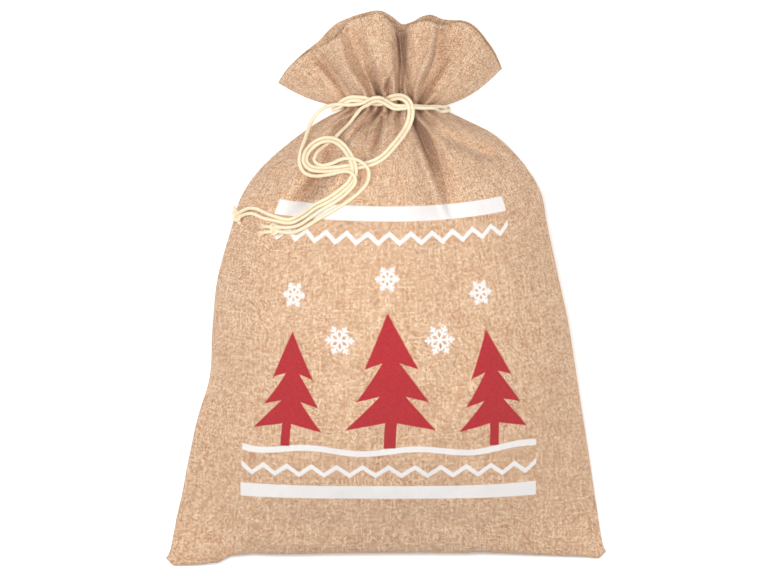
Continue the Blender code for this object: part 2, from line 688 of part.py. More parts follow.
class Knot:
    """An overhand knot as one lumpy solid: an ellipsoid with the grooves of its turns."""

    def __init__(self, name, place, heading, tree):
        """Lays the knot on the cloth at a place, with its length along a heading."""
        self.name = name
        self.heading = heading
        rest = lying_height(tree, *place, KNOT_RADII[0], KNOT_RADII[2])
        self.place = np.array([*place, rest + KNOT_GAP])

    def clears(self, middle, direction):
        """Whether a cord's round end, at a middle and square to a direction, misses the knot."""
        along = direction / np.linalg.norm(direction)
        aside = np.cross(along, (0.0, 0.0, 1.0))
        aside /= np.linalg.norm(aside)
        turns = np.linspace(0, math.tau, 12, endpoint=False)[:, None]
        rim = np.cos(turns) * aside + np.sin(turns) * np.cross(along, aside)
        disc = middle + CORD_DIAMETER / 2 * np.concatenate([rim, rim / 2, np.zeros((1, 3))])
        cos, sin = math.cos(self.heading), math.sin(self.heading)
        turn = np.array([[cos, sin, 0.0], [-sin, cos, 0.0], [0.0, 0.0, 1.0]])
        offsets = (disc - self.place) @ turn.T / (np.array(KNOT_RADII) + KNOT_GAP)
        return np.linalg.norm(offsets, axis=1).min() > 1

    def mesh(self):
        """Rows of longitude and latitude on the ellipsoid, drawn in along the turns' grooves."""
        around = np.linspace(0, math.tau, KNOT_COLUMNS, endpoint=False)
        down = np.linspace(0, math.pi, KNOT_ROWS + 1)[1:-1]
        theta, phi = np.meshgrid(down, around, indexing="ij")
        groove = np.maximum(np.cos(2 * phi + 3 * np.cos(theta)), 0) ** 3 * np.sin(theta) ** 2
        shrink = 1 - KNOT_GROOVE / min(KNOT_RADII) * groove
        local = np.stack(
            [
                KNOT_RADII[0] * np.cos(theta),
                KNOT_RADII[1] * np.sin(theta) * np.cos(phi),
                KNOT_RADII[2] * np.sin(theta) * np.sin(phi),
            ],
            axis=-1,
        ) * shrink[..., None]
        poles = np.array([[KNOT_RADII[0], 0, 0], [-KNOT_RADII[0], 0, 0]])
        points = np.concatenate([local.reshape(-1, 3), poles])
        cos, sin = math.cos(self.heading), math.sin(self.heading)
        spun = np.stack(
            [
                cos * points[:, 0] - sin * points[:, 1],
                sin * points[:, 0] + cos * points[:, 1],
                points[:, 2],
            ],
            axis=-1,
        ) + self.place
        rings, count = len(down), KNOT_COLUMNS
        index = np.arange(rings * count).reshape(rings, count)
        after = np.roll(index, -1, axis=1)
        sides = np.stack([index[:-1], index[1:], after[1:], after[:-1]], axis=-1).reshape(-1, 4)
        first, last = rings * count, rings * count + 1
        caps = [(first, int(a), int(b)) for a, b in zip(index[0], after[0])]
        caps += [(last, int(b), int(a)) for a, b in zip(index[-1], after[-1])]
        mesh = bpy.data.meshes.new(self.name)
        mesh.from_pydata(spun.tolist(), [], sides.tolist() + caps)
        mesh.shade_smooth()
        return mesh


def end_points(knot, heading, offset, length, tree):
    """The middle line of a cord's end past its knot, lying down on the cloth."""
    away = np.array([math.cos(heading), math.sin(heading), 0.0])
    aside = np.array([-away[1], away[0], 0.0]) * offset
    reach = np.arange(0, length + END_STEP / 2, END_STEP)
    start = 0.0
    while not knot.clears(knot.place + aside + away * start, away):
        start += CUT_STEP
    points = knot.place + aside + np.outer(start + reach, away)
    low = [lying_height(tree, x, y, CORD_DIAMETER / 2 + KNOT_GAP) for x, y in points[:, :2]]
    points[:, 2] = np.maximum(low, points[:, 2] - reach * END_SLOPE)
    return points


# ---------------------------------------------------------------- objects and materials
def finish(name, colour, roughness):
    """A plain cloth or cotton material."""
    material = bpy.data.materials.new(name)
    material.use_nodes = True
    shader = material.node_tree.nodes["Principled BSDF"]
    shader.inputs["Base Color"].default_value = colour
    shader.inputs["Roughness"].default_value = roughness
    shader.inputs["Metallic"].default_value = 0.0
    return material


def linked(name, data, material):
    """An object in the scene with its data and material."""
    data.materials.append(material)
    made = bpy.data.objects.new(name, data)
    bpy.context.scene.collection.objects.link(made)
    return made


def tube(name, points, material):
    """A round cord along points, with closed ends."""
    curve = bpy.data.curves.new(name, "CURVE")
    curve.dimensions = "3D"
    curve.bevel_depth = CORD_DIAMETER / 2
    curve.bevel_resolution = STRAND_RESOLUTION
    curve.use_fill_caps = True
    spline = curve.splines.new("POLY")
    spline.points.add(len(points) - 1)
    for place, point in zip(spline.points, points):
        place.co = (*point, 1.0)
    return linked(name, curve, material)


def surface_under(objects):
    """The panels as they are evaluated, for laying the strands on."""
    graph = bpy.context.evaluated_depsgraph_get()
    corners, faces = [], []
    for each in objects:
        mesh = each.evaluated_get(graph).to_mesh()
        faces += [[len(corners) + i for i in face.vertices] for face in mesh.polygons]
        corners += [corner.co.copy() for corner in mesh.vertices]
    return BVHTree.FromPolygons(corners, faces)


def build():
    """Makes every piece of the sack."""
    for thing in list(bpy.data.objects):
        bpy.data.objects.remove(thing, do_unlink=True)
    cotton = finish("cotton cord", COTTON, 0.75)
    panels = [
        panel_object("front_panel", "front", FRONT_PLEATS, finish("front burlap", BURLAP, 0.85)),
        panel_object("back_panel", "back", BACK_PLEATS, finish("back burlap", BURLAP, 0.85)),
    ]
    bpy.context.view_layer.update()
    tree = surface_under(panels)

    left = Knot("knot_left", KNOT_LEFT, KNOT_LEFT_HEADING, tree)
    right = Knot("knot_right", KNOT_RIGHT, KNOT_RIGHT_HEADING, tree)
    half = PAIR_SPACING / 2
    strands = [
        Strand("strand_left_a", LEFT_EXITS[0], LEFT_ROUTE, half, left, tree),
        Strand("strand_left_b", LEFT_EXITS[1], LEFT_ROUTE, -half, left, tree),
        Strand("strand_right_a", RIGHT_EXITS[0], RIGHT_OUTER_ROUTE, -half, right, tree),
        Strand("strand_right_b", RIGHT_EXITS[1], RIGHT_INNER_ROUTE, half, right, tree),
    ]
    for _ in range(SOLVE_ROUNDS):
        for strand in strands:
            strand.settle(strands)
    for strand in strands:
        tube(strand.name, strand.points(), cotton)
    for knot, ends in ((left, LEFT_ENDS), (right, RIGHT_ENDS)):
        linked(knot.name, knot.mesh(), cotton)
        for letter, (heading, offset, length) in zip("ab", ends):
            points = end_points(knot, heading, offset, length, tree)
            tube(f"{knot.name.replace('knot', 'end')}_{letter}", points, cotton)


build()
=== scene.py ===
"""Looks of the burlap sack: woven panels with their print, hems and stitches, cotton
drawstrings with their knots, and the studio it is seen in.

Metres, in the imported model's frame: +Z up, the sack on its back on z = 0, its mouth
towards +Y. A place on a panel is written (across, along): across runs from -1 at the left
side seam to +1 at the right one, and along is the distance from the bottom seam.
"""

import logging
import math
from collections.abc import Callable
from dataclasses import dataclass, replace
from enum import Enum
from functools import reduce
from itertools import accumulate

import bpy
import numpy as np
from mathutils.bvhtree import BVHTree
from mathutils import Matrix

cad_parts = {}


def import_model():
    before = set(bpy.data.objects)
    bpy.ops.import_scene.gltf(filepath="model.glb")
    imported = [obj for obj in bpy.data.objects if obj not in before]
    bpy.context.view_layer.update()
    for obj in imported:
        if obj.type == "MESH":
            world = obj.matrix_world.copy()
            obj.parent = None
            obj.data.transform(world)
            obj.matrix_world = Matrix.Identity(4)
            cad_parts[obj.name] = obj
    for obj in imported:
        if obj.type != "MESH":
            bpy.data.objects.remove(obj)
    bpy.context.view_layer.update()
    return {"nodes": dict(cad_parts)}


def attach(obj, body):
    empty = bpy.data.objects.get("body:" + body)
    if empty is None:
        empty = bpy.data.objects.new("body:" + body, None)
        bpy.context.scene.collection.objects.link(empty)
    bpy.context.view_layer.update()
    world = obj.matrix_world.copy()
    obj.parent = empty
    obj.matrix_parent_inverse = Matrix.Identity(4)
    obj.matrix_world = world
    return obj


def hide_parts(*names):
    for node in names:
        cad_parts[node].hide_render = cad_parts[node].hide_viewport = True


log = logging.getLogger("sack")
Array, Material, Object = np.ndarray, bpy.types.Material, bpy.types.Object
Colour = tuple[float, float, float, float]
WHITE: Colour = (1.0, 1.0, 1.0, 1.0)


# ---------------------------------------------------------------- curves and tables
def through(knots: Array, values: Array, at: Array) -> Array:
    """Smooth curve through points: between each two, the cubic with their mean slopes.

    Args:
        knots: where the values are known, rising.
        values: the values there.
        at: where to read the curve.

    Returns:
        The values at those places.
    """
    slopes = np.gradient(values, knots)
    at = np.clip(at, knots[0], knots[-1])
    right = np.clip(np.searchsorted(knots, at), 1, len(knots) - 1)
    left = right - 1
    step = knots[right] - knots[left]
    t = (at - knots[left]) / step
    return (
        (1 + 2 * t) * (1 - t) ** 2 * values[left]
        + t * (1 - t) ** 2 * step * slopes[left]
        + t * t * (3 - 2 * t) * values[right]
        + t * t * (t - 1) * step * slopes[right]
    )


def run_along(line: Array) -> Array:
    """How far each point of a line is from its first, along the line."""
    return np.concatenate([[0.0], np.cumsum(np.linalg.norm(np.diff(line, axis=0), axis=1))])


def smooth_line(points: Array, step: float) -> Array:
    """Smooth curve through rows of points, read at even steps of their chord lengths.

    Args:
        points: one row for each point.
        step: the distance between the points of the curve.

    Returns:
        The curve's points, one row each.
    """
    knots = run_along(points)
    at = np.linspace(0, knots[-1], int(math.ceil(knots[-1] / step)) + 1)
    return np.stack([through(knots, column, at) for column in points.T], axis=-1)


def unit(vectors: Array) -> Array:
    """Vectors in the last axis, brought to length 1."""
    return vectors / np.linalg.norm(vectors, axis=-1, keepdims=True)


def bump(distance: Array, half_width: float) -> Array:
    """1 in the middle, falling smoothly to 0 at half_width on either side."""
    u = np.clip(np.abs(distance) / half_width, 0.0, 1.0)
    return (1 - u) ** 2 * (1 + 2 * u)


def smoothstep(value: Array) -> Array:
    """0 up to 0, 1 from 1 on, and a smooth rise between."""
    u = np.clip(value, 0.0, 1.0)
    return u * u * (3 - 2 * u)


@dataclass(frozen=True)
class Table:
    """Rows of numbers whose columns have names."""

    names: str
    rows: tuple[tuple[float, ...], ...]

    def column(self, name: str) -> Array:
        """The column of that name."""
        return np.array(self.rows)[:, self.names.split().index(name)]

    def read(self, name: str, at: Array) -> Array:
        """The named column, read smoothly at values of the first one."""
        return through(np.array(self.rows)[:, 0], self.column(name), at)


# ---------------------------------------------------------------- meshes
def grid_faces(rows: int, columns: int, around: bool = False) -> Array:
    """Quads of a grid of points, which face along (columns' way) x (rows' way).

    Args:
        rows: how many rows of points there are.
        columns: how many points a row has.
        around: whether a row's last point is joined to its first.

    Returns:
        Four point numbers for each face.
    """
    index = np.arange(rows * columns).reshape(rows, columns)
    after = np.roll(index, -1, axis=1) if around else index[:, 1:]
    index = index if around else index[:, :-1]
    return np.stack((index[:-1], after[:-1], after[1:], index[1:]), axis=-1).reshape(-1, 4)


def mesh_object(
    name: str,
    points: Array,
    faces: Array,
    material: Material,
    places: Array | None = None,
    closing: list[list[int]] | None = None,
) -> Object:
    """An object at the origin from points and quads.

    Args:
        name: the piece's name.
        points: its corners.
        faces: quads, as point numbers.
        material: its finish.
        places: each point's place on the cloth or cord, for the UV map "place".
        closing: further faces, such as those at a tube's ends.

    Returns:
        The object, linked and shaded smooth.
    """
    mesh = bpy.data.meshes.new(name)
    mesh.from_pydata(points.reshape(-1, 3).tolist(), [], faces.tolist() + (closing or []))
    mesh.shade_smooth()
    if places is not None:
        corners = np.empty(len(mesh.loops), dtype=np.int32)
        mesh.loops.foreach_get("vertex_index", corners)
        layer = mesh.uv_layers.new(name="place")
        layer.data.foreach_set("uv", places.reshape(-1, 2)[corners].astype(np.float32).ravel())
    mesh.materials.append(material)
    made = bpy.data.objects.new(name, mesh)
    bpy.context.scene.collection.objects.link(made)
    return made


def carried(line: Array, closed: bool = False) -> tuple[Array, Array]:
    """Directions square to a line, each turned from the one before no more than the line is.

    Args:
        line: the line's points.
        closed: whether the last point is followed by the first.

    Returns:
        At each point one such direction, and the tangent x that direction.
    """
    ahead = np.roll(line, -1, axis=0) - np.roll(line, 1, axis=0)
    tangent = unit(ahead if closed else np.gradient(line, axis=0))

    def turned(side: Array, along: Array) -> Array:
        """The side before it, made square to the next tangent."""
        return unit(side - along * (side @ along))

    start = unit(np.cross(tangent[0], (0.0, 0.0, 1.0)))
    side = np.array(list(accumulate(tangent, turned, initial=start))[1:])
    return side, np.cross(tangent, side)


def tubes(
    name: str,
    middle: Array,
    side: Array,
    up: Array,
    radius: Array,
    sides: int,
    run: Array,
    material: Material,
    closed: bool = False,
    backwards: bool = False,
) -> Object:
    """Tubes about lines, as one piece: middle + radius (cos t side + sin t up), t the turn.

    Args:
        name: the piece's name.
        middle: the lines, as lines x points x 3.
        side: a direction square to the line at each point.
        up: another, square to both.
        radius: the radius, as points x turns or points x 1.
        sides: how many points go round a tube.
        run: how far each point is along its line, for the UV map.
        material: the finish.
        closed: whether each line is a loop.
        backwards: whether side x up points back along the line.

    Returns:
        The tubes, with flat ends unless they are closed.
    """
    lines, steps = middle.shape[:2]
    turn = np.linspace(0, math.tau, sides, endpoint=False)
    out = np.cos(turn)[:, None] * side[..., None, :] + np.sin(turn)[:, None] * up[..., None, :]
    points = middle[..., None, :] + radius[..., None] * out
    flat = [np.broadcast_to(part, points.shape[:-1]) for part in (turn / math.tau, run[:, None])]
    faces = grid_faces(steps, sides, around=True)
    first = np.arange(sides)
    last = first + (steps - 1) * sides
    if closed:
        joint = np.stack([last, np.roll(last, -1), np.roll(first, -1), first], axis=-1)
        faces = np.concatenate([faces, joint])
    starts = np.arange(lines) * steps * sides
    faces = (faces[None] + starts[:, None, None]).reshape(-1, 4)
    ends = [] if closed else [(e + n).tolist() for n in starts for e in (first[::-1], last)]
    if backwards:
        faces, ends = faces[:, ::-1], [end[::-1] for end in ends]
    return mesh_object(name, points, faces, material, np.stack(flat, axis=-1), ends)


# ---------------------------------------------------------------- shader maths
Value = "Wire | float"  # what an expression on a wire takes


def operator(operation: str, swapped: bool = False) -> Callable[..., "Wire"]:
    """A method of Wire that adds a Math node.

    Args:
        operation: the node's operation.
        swapped: whether the other value comes first.

    Returns:
        The method, which takes the operation's further values.
    """

    def method(wire: "Wire", *others: Value) -> "Wire":
        """The operation's result on the wire and the others."""
        return wire.maths(operation, *((*others, wire) if swapped else (wire, *others)))

    return method


class Wire:
    """An output socket that does arithmetic: an expression on it adds its Math nodes."""

    def __init__(self, board: "Board", socket: bpy.types.NodeSocket) -> None:
        """Wraps a socket of a board's node."""
        self.board = board
        self.socket = socket

    def maths(self, operation: str, *values: Value) -> "Wire":
        """A Math node of that operation on the values."""
        return self.board.add("ShaderNodeMath", {"operation": operation}, dict(enumerate(values)))

    __add__ = __radd__ = operator("ADD")
    __sub__, __rsub__ = operator("SUBTRACT"), operator("SUBTRACT", swapped=True)
    __mul__ = __rmul__ = operator("MULTIPLY")
    __truediv__, __pow__, __abs__ = operator("DIVIDE"), operator("POWER"), operator("ABSOLUTE")
    sin, cos, floor, nearest = (operator(name) for name in ("SINE", "COSINE", "FLOOR", "ROUND"))
    least, most = operator("MINIMUM"), operator("MAXIMUM")

    def wrapped(self, period: float) -> "Wire":
        """Its remainder from 0 to the period, of values below 0 as well."""
        return self - (self / period).floor() * period

    def over(self, softness: float) -> "Wire":
        """1 where it is above 0 and 0 below, over a soft edge of that width."""
        return self.ranged(-softness / 2, softness / 2, interpolation_type="SMOOTHSTEP")

    def ranged(
        self, low: float, high: float, first: float = 0.0, last: float = 1.0, **settings: str
    ) -> "Wire":
        """Carried from low..high to first..last, evenly unless set so, and held there outside."""
        ends = {"From Min": low, "From Max": high, "To Min": first, "To Max": last}
        return self.board.add("ShaderNodeMapRange", settings, {"Value": self, **ends})


class Board:
    """A material's nodes."""

    def __init__(self, name: str) -> None:
        """Starts a material with its Principled shader.

        Args:
            name: the material's name.
        """
        self.material = bpy.data.materials.new(name)
        self.material.use_nodes = True
        self.tree = self.material.node_tree
        self.shader = self.tree.nodes["Principled BSDF"]

    def add(
        self,
        kind: str,
        settings: dict[str, object],
        sockets: dict[str | int, object],
        output: int = 0,
    ) -> Wire:
        """Any node: its settings are set first, then its sockets' values or links.

        Args:
            kind: the node's type.
            settings: its properties.
            sockets: a value or a wire for each named or numbered input.
            output: the number of the output that is wanted.

        Returns:
            That output as a wire.
        """
        node = self.tree.nodes.new(kind)
        for name, value in settings.items():
            setattr(node, name, value)
        for name, value in sockets.items():
            self.give(node.inputs[name], value)
        return Wire(self, node.outputs[output])

    def give(self, socket: bpy.types.NodeSocket, value: object) -> None:
        """Links a wire to an input, or sets the input's own value.

        Args:
            socket: the input.
            value: the wire or the value.
        """
        if isinstance(value, Wire):
            self.tree.links.new(value.socket, socket)
        else:
            socket.default_value = value

    def finish(self, **sockets: object) -> Material:
        """Sets the shader's own sockets and ends the material.

        Args:
            sockets: their values or wires, by names with an underscore for each space.

        Returns:
            The material.
        """
        for name, value in sockets.items():
            self.give(self.shader.inputs[name.replace("_", " ")], value)
        return self.material

    def mix(self, share: Value, first: object, second: object) -> Wire:
        """A colour between two, by a share of the second."""
        return self.add("ShaderNodeMix", {"data_type": "RGBA"}, {0: share, 6: first, 7: second}, 2)

    def place(self) -> tuple[Wire, Wire]:
        """The two coordinates of the piece's UV map "place"."""
        read = self.add("ShaderNodeUVMap", {"uv_map": "place"}, {})
        parts = self.add("ShaderNodeSeparateXYZ", {}, {0: read})
        return parts, Wire(self, parts.socket.node.outputs[1])

    def point(self, x: Value, y: Value, z: Value = 0.0) -> Wire:
        """A vector from three numbers."""
        return self.add("ShaderNodeCombineXYZ", {}, {0: x, 1: y, 2: z})

    def noise(self, at: Wire, scale: float, detail: float = 2.0) -> Wire:
        """Soft noise about 0.5, read at a vector."""
        return self.add("ShaderNodeTexNoise", {}, {"Vector": at, "Scale": scale, "Detail": detail})

    def chance(self, x: Value, y: Value) -> Wire:
        """A random number from 0 to 1 for each pair of numbers."""
        flat = {"noise_dimensions": "2D"}
        return self.add("ShaderNodeTexWhiteNoise", flat, {"Vector": self.point(x, y)})

    def relief(self, height: Wire, depth: float, strength: float) -> Wire:
        """A normal from a height of 0 to 1, which stands for that depth in metres."""
        sockets = {"Strength": strength, "Distance": depth, "Height": height}
        return self.add("ShaderNodeBump", {}, sockets)


# ---------------------------------------------------------------- finishes
@dataclass(frozen=True)
class WinterPrint:
    """The print on the front: fir trees and frost stars between two bordered bands."""

    half_width: float = 0.172
    band: float = 0.009
    bands: tuple[float, float] = (0.094, 0.424)
    borders: tuple[float, float] = (0.123, 0.395)
    border_period: float = 0.0287
    border_rise: float = 0.011
    border_stroke: float = 0.00325
    ground: float = 0.153
    hills: tuple[float, float] = (52.0, 0.003)  # how close and how high they are
    snow_depth: float = 0.004
    snow_stroke: float = 0.00364
    tree_spacing: float = 0.118
    tree_shrink: float = 0.16
    tiers: tuple[tuple[float, float, float], ...] = (
        (0.022, 0.080, 0.050), (0.056, 0.116, 0.041), (0.094, 0.158, 0.031),
    )
    trunk: tuple[float, float] = (0.0065, 0.034)
    droop: float = 0.011
    star_stroke: float = 0.0026
    star_branches: tuple[tuple[float, float], ...] = ((0.42, 0.30), (0.68, 0.22))
    low_stars: tuple[float, float] = (0.126, 0.0177)  # how far over the ground, and their reach
    high_stars: tuple[float, float] = (0.196, 0.01534)
    star_arch: float = 0.022
    edge: float = 0.0007

    def cell(self, across: Wire, shift: float) -> tuple[Wire, Wire]:
        """The nearest column's number, -1 to 1 or, shifted by 0.5, -1 to 0.

        Args:
            across: metres to the right of the cloth's middle.
            shift: how far the columns are moved, as a share of their spacing.

        Returns:
            The number, and the distance to the right of the column's middle.
        """
        number = (across / self.tree_spacing - shift).nearest().least(1 - 2 * shift).most(-1.0)
        return number, across - (number + shift) * self.tree_spacing

    def star(self, x: Wire, y: Wire, reach: float) -> Wire:
        """A frost star of six arms, each with two pairs of side branches.

        The plane is folded into one twelfth about an arm: r is the distance from the
        middle and t the angle from the nearest arm, so an arm is where r sin t is small.

        Args:
            x: distance to the right of the star's middle.
            y: distance above it.
            reach: the length of an arm.

        Returns:
            1 inside the star and 0 outside.
        """
        radius = (x * x + y * y) ** 0.5
        angle = x.maths("ARCTAN2", y, x)
        sixth = math.pi / 3
        folded = abs((angle + sixth / 2).wrapped(sixth) - sixth / 2)
        out, aside = radius * folded.cos(), radius * folded.sin()
        arm = (self.star_stroke / 2 - aside).least(reach - out)
        for start, length in self.star_branches:
            line = abs((out - start * reach) * math.sin(sixth) - aside * math.cos(sixth))
            arm = arm.most((self.star_stroke / 2 - line).least(length * reach - aside))
        return arm.over(self.edge)

    def border(self, across: Wire, along: Wire, middle: float) -> Wire:
        """A zigzag line about a height: a triangle wave less the place on the cloth."""
        wave = abs((across / self.border_period).wrapped(1.0) - 0.5) * 2 - 0.5
        return self.border_stroke - abs(along - middle - wave * self.border_rise)

    def red(self, across: Wire, along: Wire) -> Wire:
        """Three fir trees: each tier is a triangle whose lower edge hangs at its tips.

        Args:
            across: metres to the right of the cloth's middle.
            along: metres from the bottom seam.

        Returns:
            1 inside the trees and 0 outside.
        """
        number, aside = self.cell(across, 0.0)
        scale = 1 - abs(number) * self.tree_shrink
        aside, up = abs(aside) / scale, (along - self.ground) / scale
        half, tall = self.trunk
        shape = (half - aside).least(tall - up).least(up)
        for low, high, width in self.tiers:
            below = up - low - (1 - aside / width) * self.droop
            slope = width / (high - low)
            shape = shape.most((width - (up - low) * slope - aside).least(below))
        return shape.over(self.edge)

    def white(self, across: Wire, along: Wire) -> Wire:
        """The bands, their zigzag borders, the snowy ground line and the frost stars.

        Args:
            across: metres to the right of the cloth's middle.
            along: metres from the bottom seam.

        Returns:
            1 inside them and 0 outside.
        """
        close, high = self.hills
        snow = (across * close).sin() * high + self.ground - self.snow_depth
        lines = [self.band - abs(along - middle) for middle in self.bands]
        lines += [self.border(across, along, middle) for middle in self.borders]
        lines += [self.snow_stroke - abs(along - snow)]
        drawn = reduce(Wire.most, lines).least(self.half_width - abs(across)).over(self.edge)
        for shift, (lift, reach), arch in (
            (0.5, self.low_stars, 0.0), (0.0, self.high_stars, self.star_arch),
        ):
            number, local = self.cell(across, shift)
            height = self.ground + lift - abs(number) * arch
            drawn = drawn.most(self.star(local, along - height, reach))
        return drawn


@dataclass(frozen=True)
class BurlapFinish:
    """Jute-coloured cloth in an open plain weave of uneven two-tone threads."""

    pitch: float = 0.00135
    sway: tuple[float, float] = (55.0, 1.3)  # its noise's scale, and its size in threads
    slub: tuple[float, float] = (0.73, 42.0)  # thick places: steps by thread, and per metre
    heights: tuple[float, float, float] = (0.55, 0.35, 0.45)  # by roundness, weave and slub
    thread_tone: float = 0.20
    knit_tone: float = 0.72
    warp: Colour = (0.400, 0.170, 0.072, 1.0)
    weft: Colour = (0.790, 0.495, 0.295, 1.0)
    # painted shade: the colour given to the gaps between threads and to the threads' low sides
    gap_shade: Colour = (0.090, 0.030, 0.012, 1.0)
    cream: Colour = (1.000, 0.835, 0.620, 1.0)
    white_ink: Colour = (0.760, 0.735, 0.730, 1.0)
    red_ink: Colour = (0.400, 0.016, 0.028, 1.0)
    roughness: float = 0.88

    def threads(
        self, board: Board, own: Wire, other: Wire, run: Wire, seeds: tuple[float, float], over: int
    ) -> tuple[Wire, Wire]:
        """One set of threads: |sin| round across itself, and over and under by a cosine.

        With p the place across the set and q along it, both in threads, a thread's height
        is made of sin(pi p) and of cos(pi (q - 1/2 + its number)).

        Args:
            board: the material's nodes.
            own: p.
            other: q.
            run: metres along the threads.
            seeds: two numbers that set this set's chances apart.
            over: 1 or -1, so that one set goes over where the other goes under.

        Returns:
            The height, and how light the thread is.
        """
        number = own.floor()
        by_round, by_weave, by_slub = self.heights
        slub = board.noise(board.point(number * self.slub[0], run * self.slub[1], seeds[0]), 1.0)
        weave = ((other - 0.5 + number) * math.pi).cos() * (by_weave * over)
        high = (own.wrapped(1.0) * math.pi).sin() ** 0.7 * by_round + weave + slub * by_slub
        return high, (board.chance(number, seeds[1]) - 0.5) * self.thread_tone + slub

    def material(self, name: str, design: WinterPrint | None) -> Material:
        """The cloth's material: of warp and weft, the higher shows, and the low places in and
        beside the threads are painted in shade.

        Args:
            name: the material's name.
            design: what is printed on it, or None.

        Returns:
            The finished material.
        """
        board = Board(name)
        across, along = board.place()
        at = board.point(across, along)
        scale, size = self.sway
        p = across / self.pitch + (board.noise(at, scale, 1.0) - 0.5) * size
        turned = board.point(along, across, 3.0)
        q = along / self.pitch + (board.noise(turned, scale, 1.0) - 0.5) * size
        warp_high, warp_tone = self.threads(board, p, q, along, (0.0, 3.0), 1)
        weft_high, weft_tone = self.threads(board, q, p, across, (5.0, 7.0), -1)
        height = warp_high.most(weft_high)

        fibre = board.noise(at, 900.0)
        column, row = p.floor(), q.floor()
        knit = board.chance(column, row)
        sets = []
        for tone, colour in ((warp_tone, self.warp), (weft_tone, self.weft)):
            light = (tone + (knit - 0.5) * self.knit_tone) * 0.8 + fibre * 0.6 - 0.45
            sets.append(board.mix(light.ranged(0.0, 0.8), colour, self.cream))
        mixed_in = board.chance(row, column).ranged(0.78, 0.92, 0.0, 0.7)
        weft = board.mix(mixed_in, sets[1], self.warp)
        yarn = board.mix((warp_high - weft_high).over(0.10), weft, sets[0])
        patch = board.noise(at, 26.0, 3.0).ranged(0.30, 0.70, 0.0, 0.14)
        yarn = board.mix(patch, yarn, self.warp)
        # painted shade: the lower the weave lies, the darker it is painted, in the gaps and down
        # the threads' sides
        colour = board.mix(height.ranged(0.44, 0.84, 1.0, 0.0), yarn, self.gap_shade)
        if design is not None:
            wear = board.noise(at, 160.0, 3.0) * 0.35 + height * 0.9 + fibre * 0.15
            hold, shade = wear.ranged(0.50, 0.66), knit * 0.10
            white = board.mix(shade, self.white_ink, self.cream)
            red = board.mix(shade, self.red_ink, self.warp)
            colour = board.mix(design.white(across, along) * hold, colour, white)
            colour = board.mix(design.red(across, along) * hold, colour, red)
        return board.finish(
            Base_Color=colour, Roughness=height.ranged(0.2, 1.0, 0.95, self.roughness),
            Specular_IOR_Level=0.25, Sheen_Weight=0.12, Sheen_Roughness=0.6,
            Normal=board.relief(height * 0.8 + fibre * 0.2, 0.00045, 0.9),
        )


@dataclass(frozen=True)
class CottonFinish:
    """Unbleached braided cotton, with the fine slanted plaits of its cover."""

    # light is the cotton's colour on the plaits; shade is painted shade in their grooves
    light: Colour = (0.850, 0.725, 0.515, 1.0)
    shade: Colour = (0.560, 0.430, 0.265, 1.0)
    plait: float = 0.0013
    plaits_round: int = 8

    def material(self, name: str) -> Material:
        """The cord's material: two crossing waves over its turn and its length, whose grooves are
        painted in shade.

        Args:
            name: the material's name.

        Returns:
            The finished material.
        """
        board = Board(name)
        turn, along = board.place()
        ring = turn * (math.pi * self.plaits_round)
        run = along * (math.pi / self.plait)
        weave = (ring + run).sin() * (ring - run).sin()
        spot = board.noise(board.point(turn * 6.0, along * 900.0), 1.0, 3.0)
        fibre = board.noise(board.point(turn * 40.0, along * 2600.0), 1.0)
        height = weave * 0.35 + 0.5 + spot * 0.25 + fibre * 0.2
        # painted shade: low places of the plait waves get up to 0.6 of shade; the spots and fibres
        # in the height are the cotton's own uneven tone
        colour = board.mix(height.ranged(0.25, 0.80, 0.60, 0.0), self.light, self.shade)
        return board.finish(
            Base_Color=colour, Roughness=0.78, Specular_IOR_Level=0.3, Sheen_Weight=0.2,
            Normal=board.relief(height, 0.00025, 0.8),
        )


@dataclass(frozen=True)
class ThreadFinish:
    """Twisted thread or yarn."""

    colour: Colour = (0.640, 0.430, 0.300, 1.0)
    # shade is painted shade in the twist's grooves
    shade: Colour = (0.500, 0.310, 0.200, 1.0)
    twist: float = 0.0007

    def material(self, name: str) -> Material:
        """The thread's material: slanted stripes of its twist, with painted shade on the low side
        of each.

        Args:
            name: the material's name.

        Returns:
            The finished material.
        """
        board = Board(name)
        turn, along = board.place()
        stripe = ((turn + along / self.twist) * math.tau).sin() * 0.5 + 0.5
        # painted shade: the twist's grooves take the shade colour
        colour = board.mix(stripe, self.shade, self.colour)
        normal = board.relief(stripe, 0.0001, 0.6)
        return board.finish(Base_Color=colour, Roughness=0.6, Normal=normal)


# ---------------------------------------------------------------- the lie of the cloth
PANEL_WIDTH, PANEL_LENGTH = 0.500, 0.700
HALF_WIDTH = PANEL_WIDTH / 2
NECK = 0.590  # along the cloth to the middle of the drawstring channel
SEAM_PARTING = 0.0012  # half the way between the panels' middles at a seam of the solids

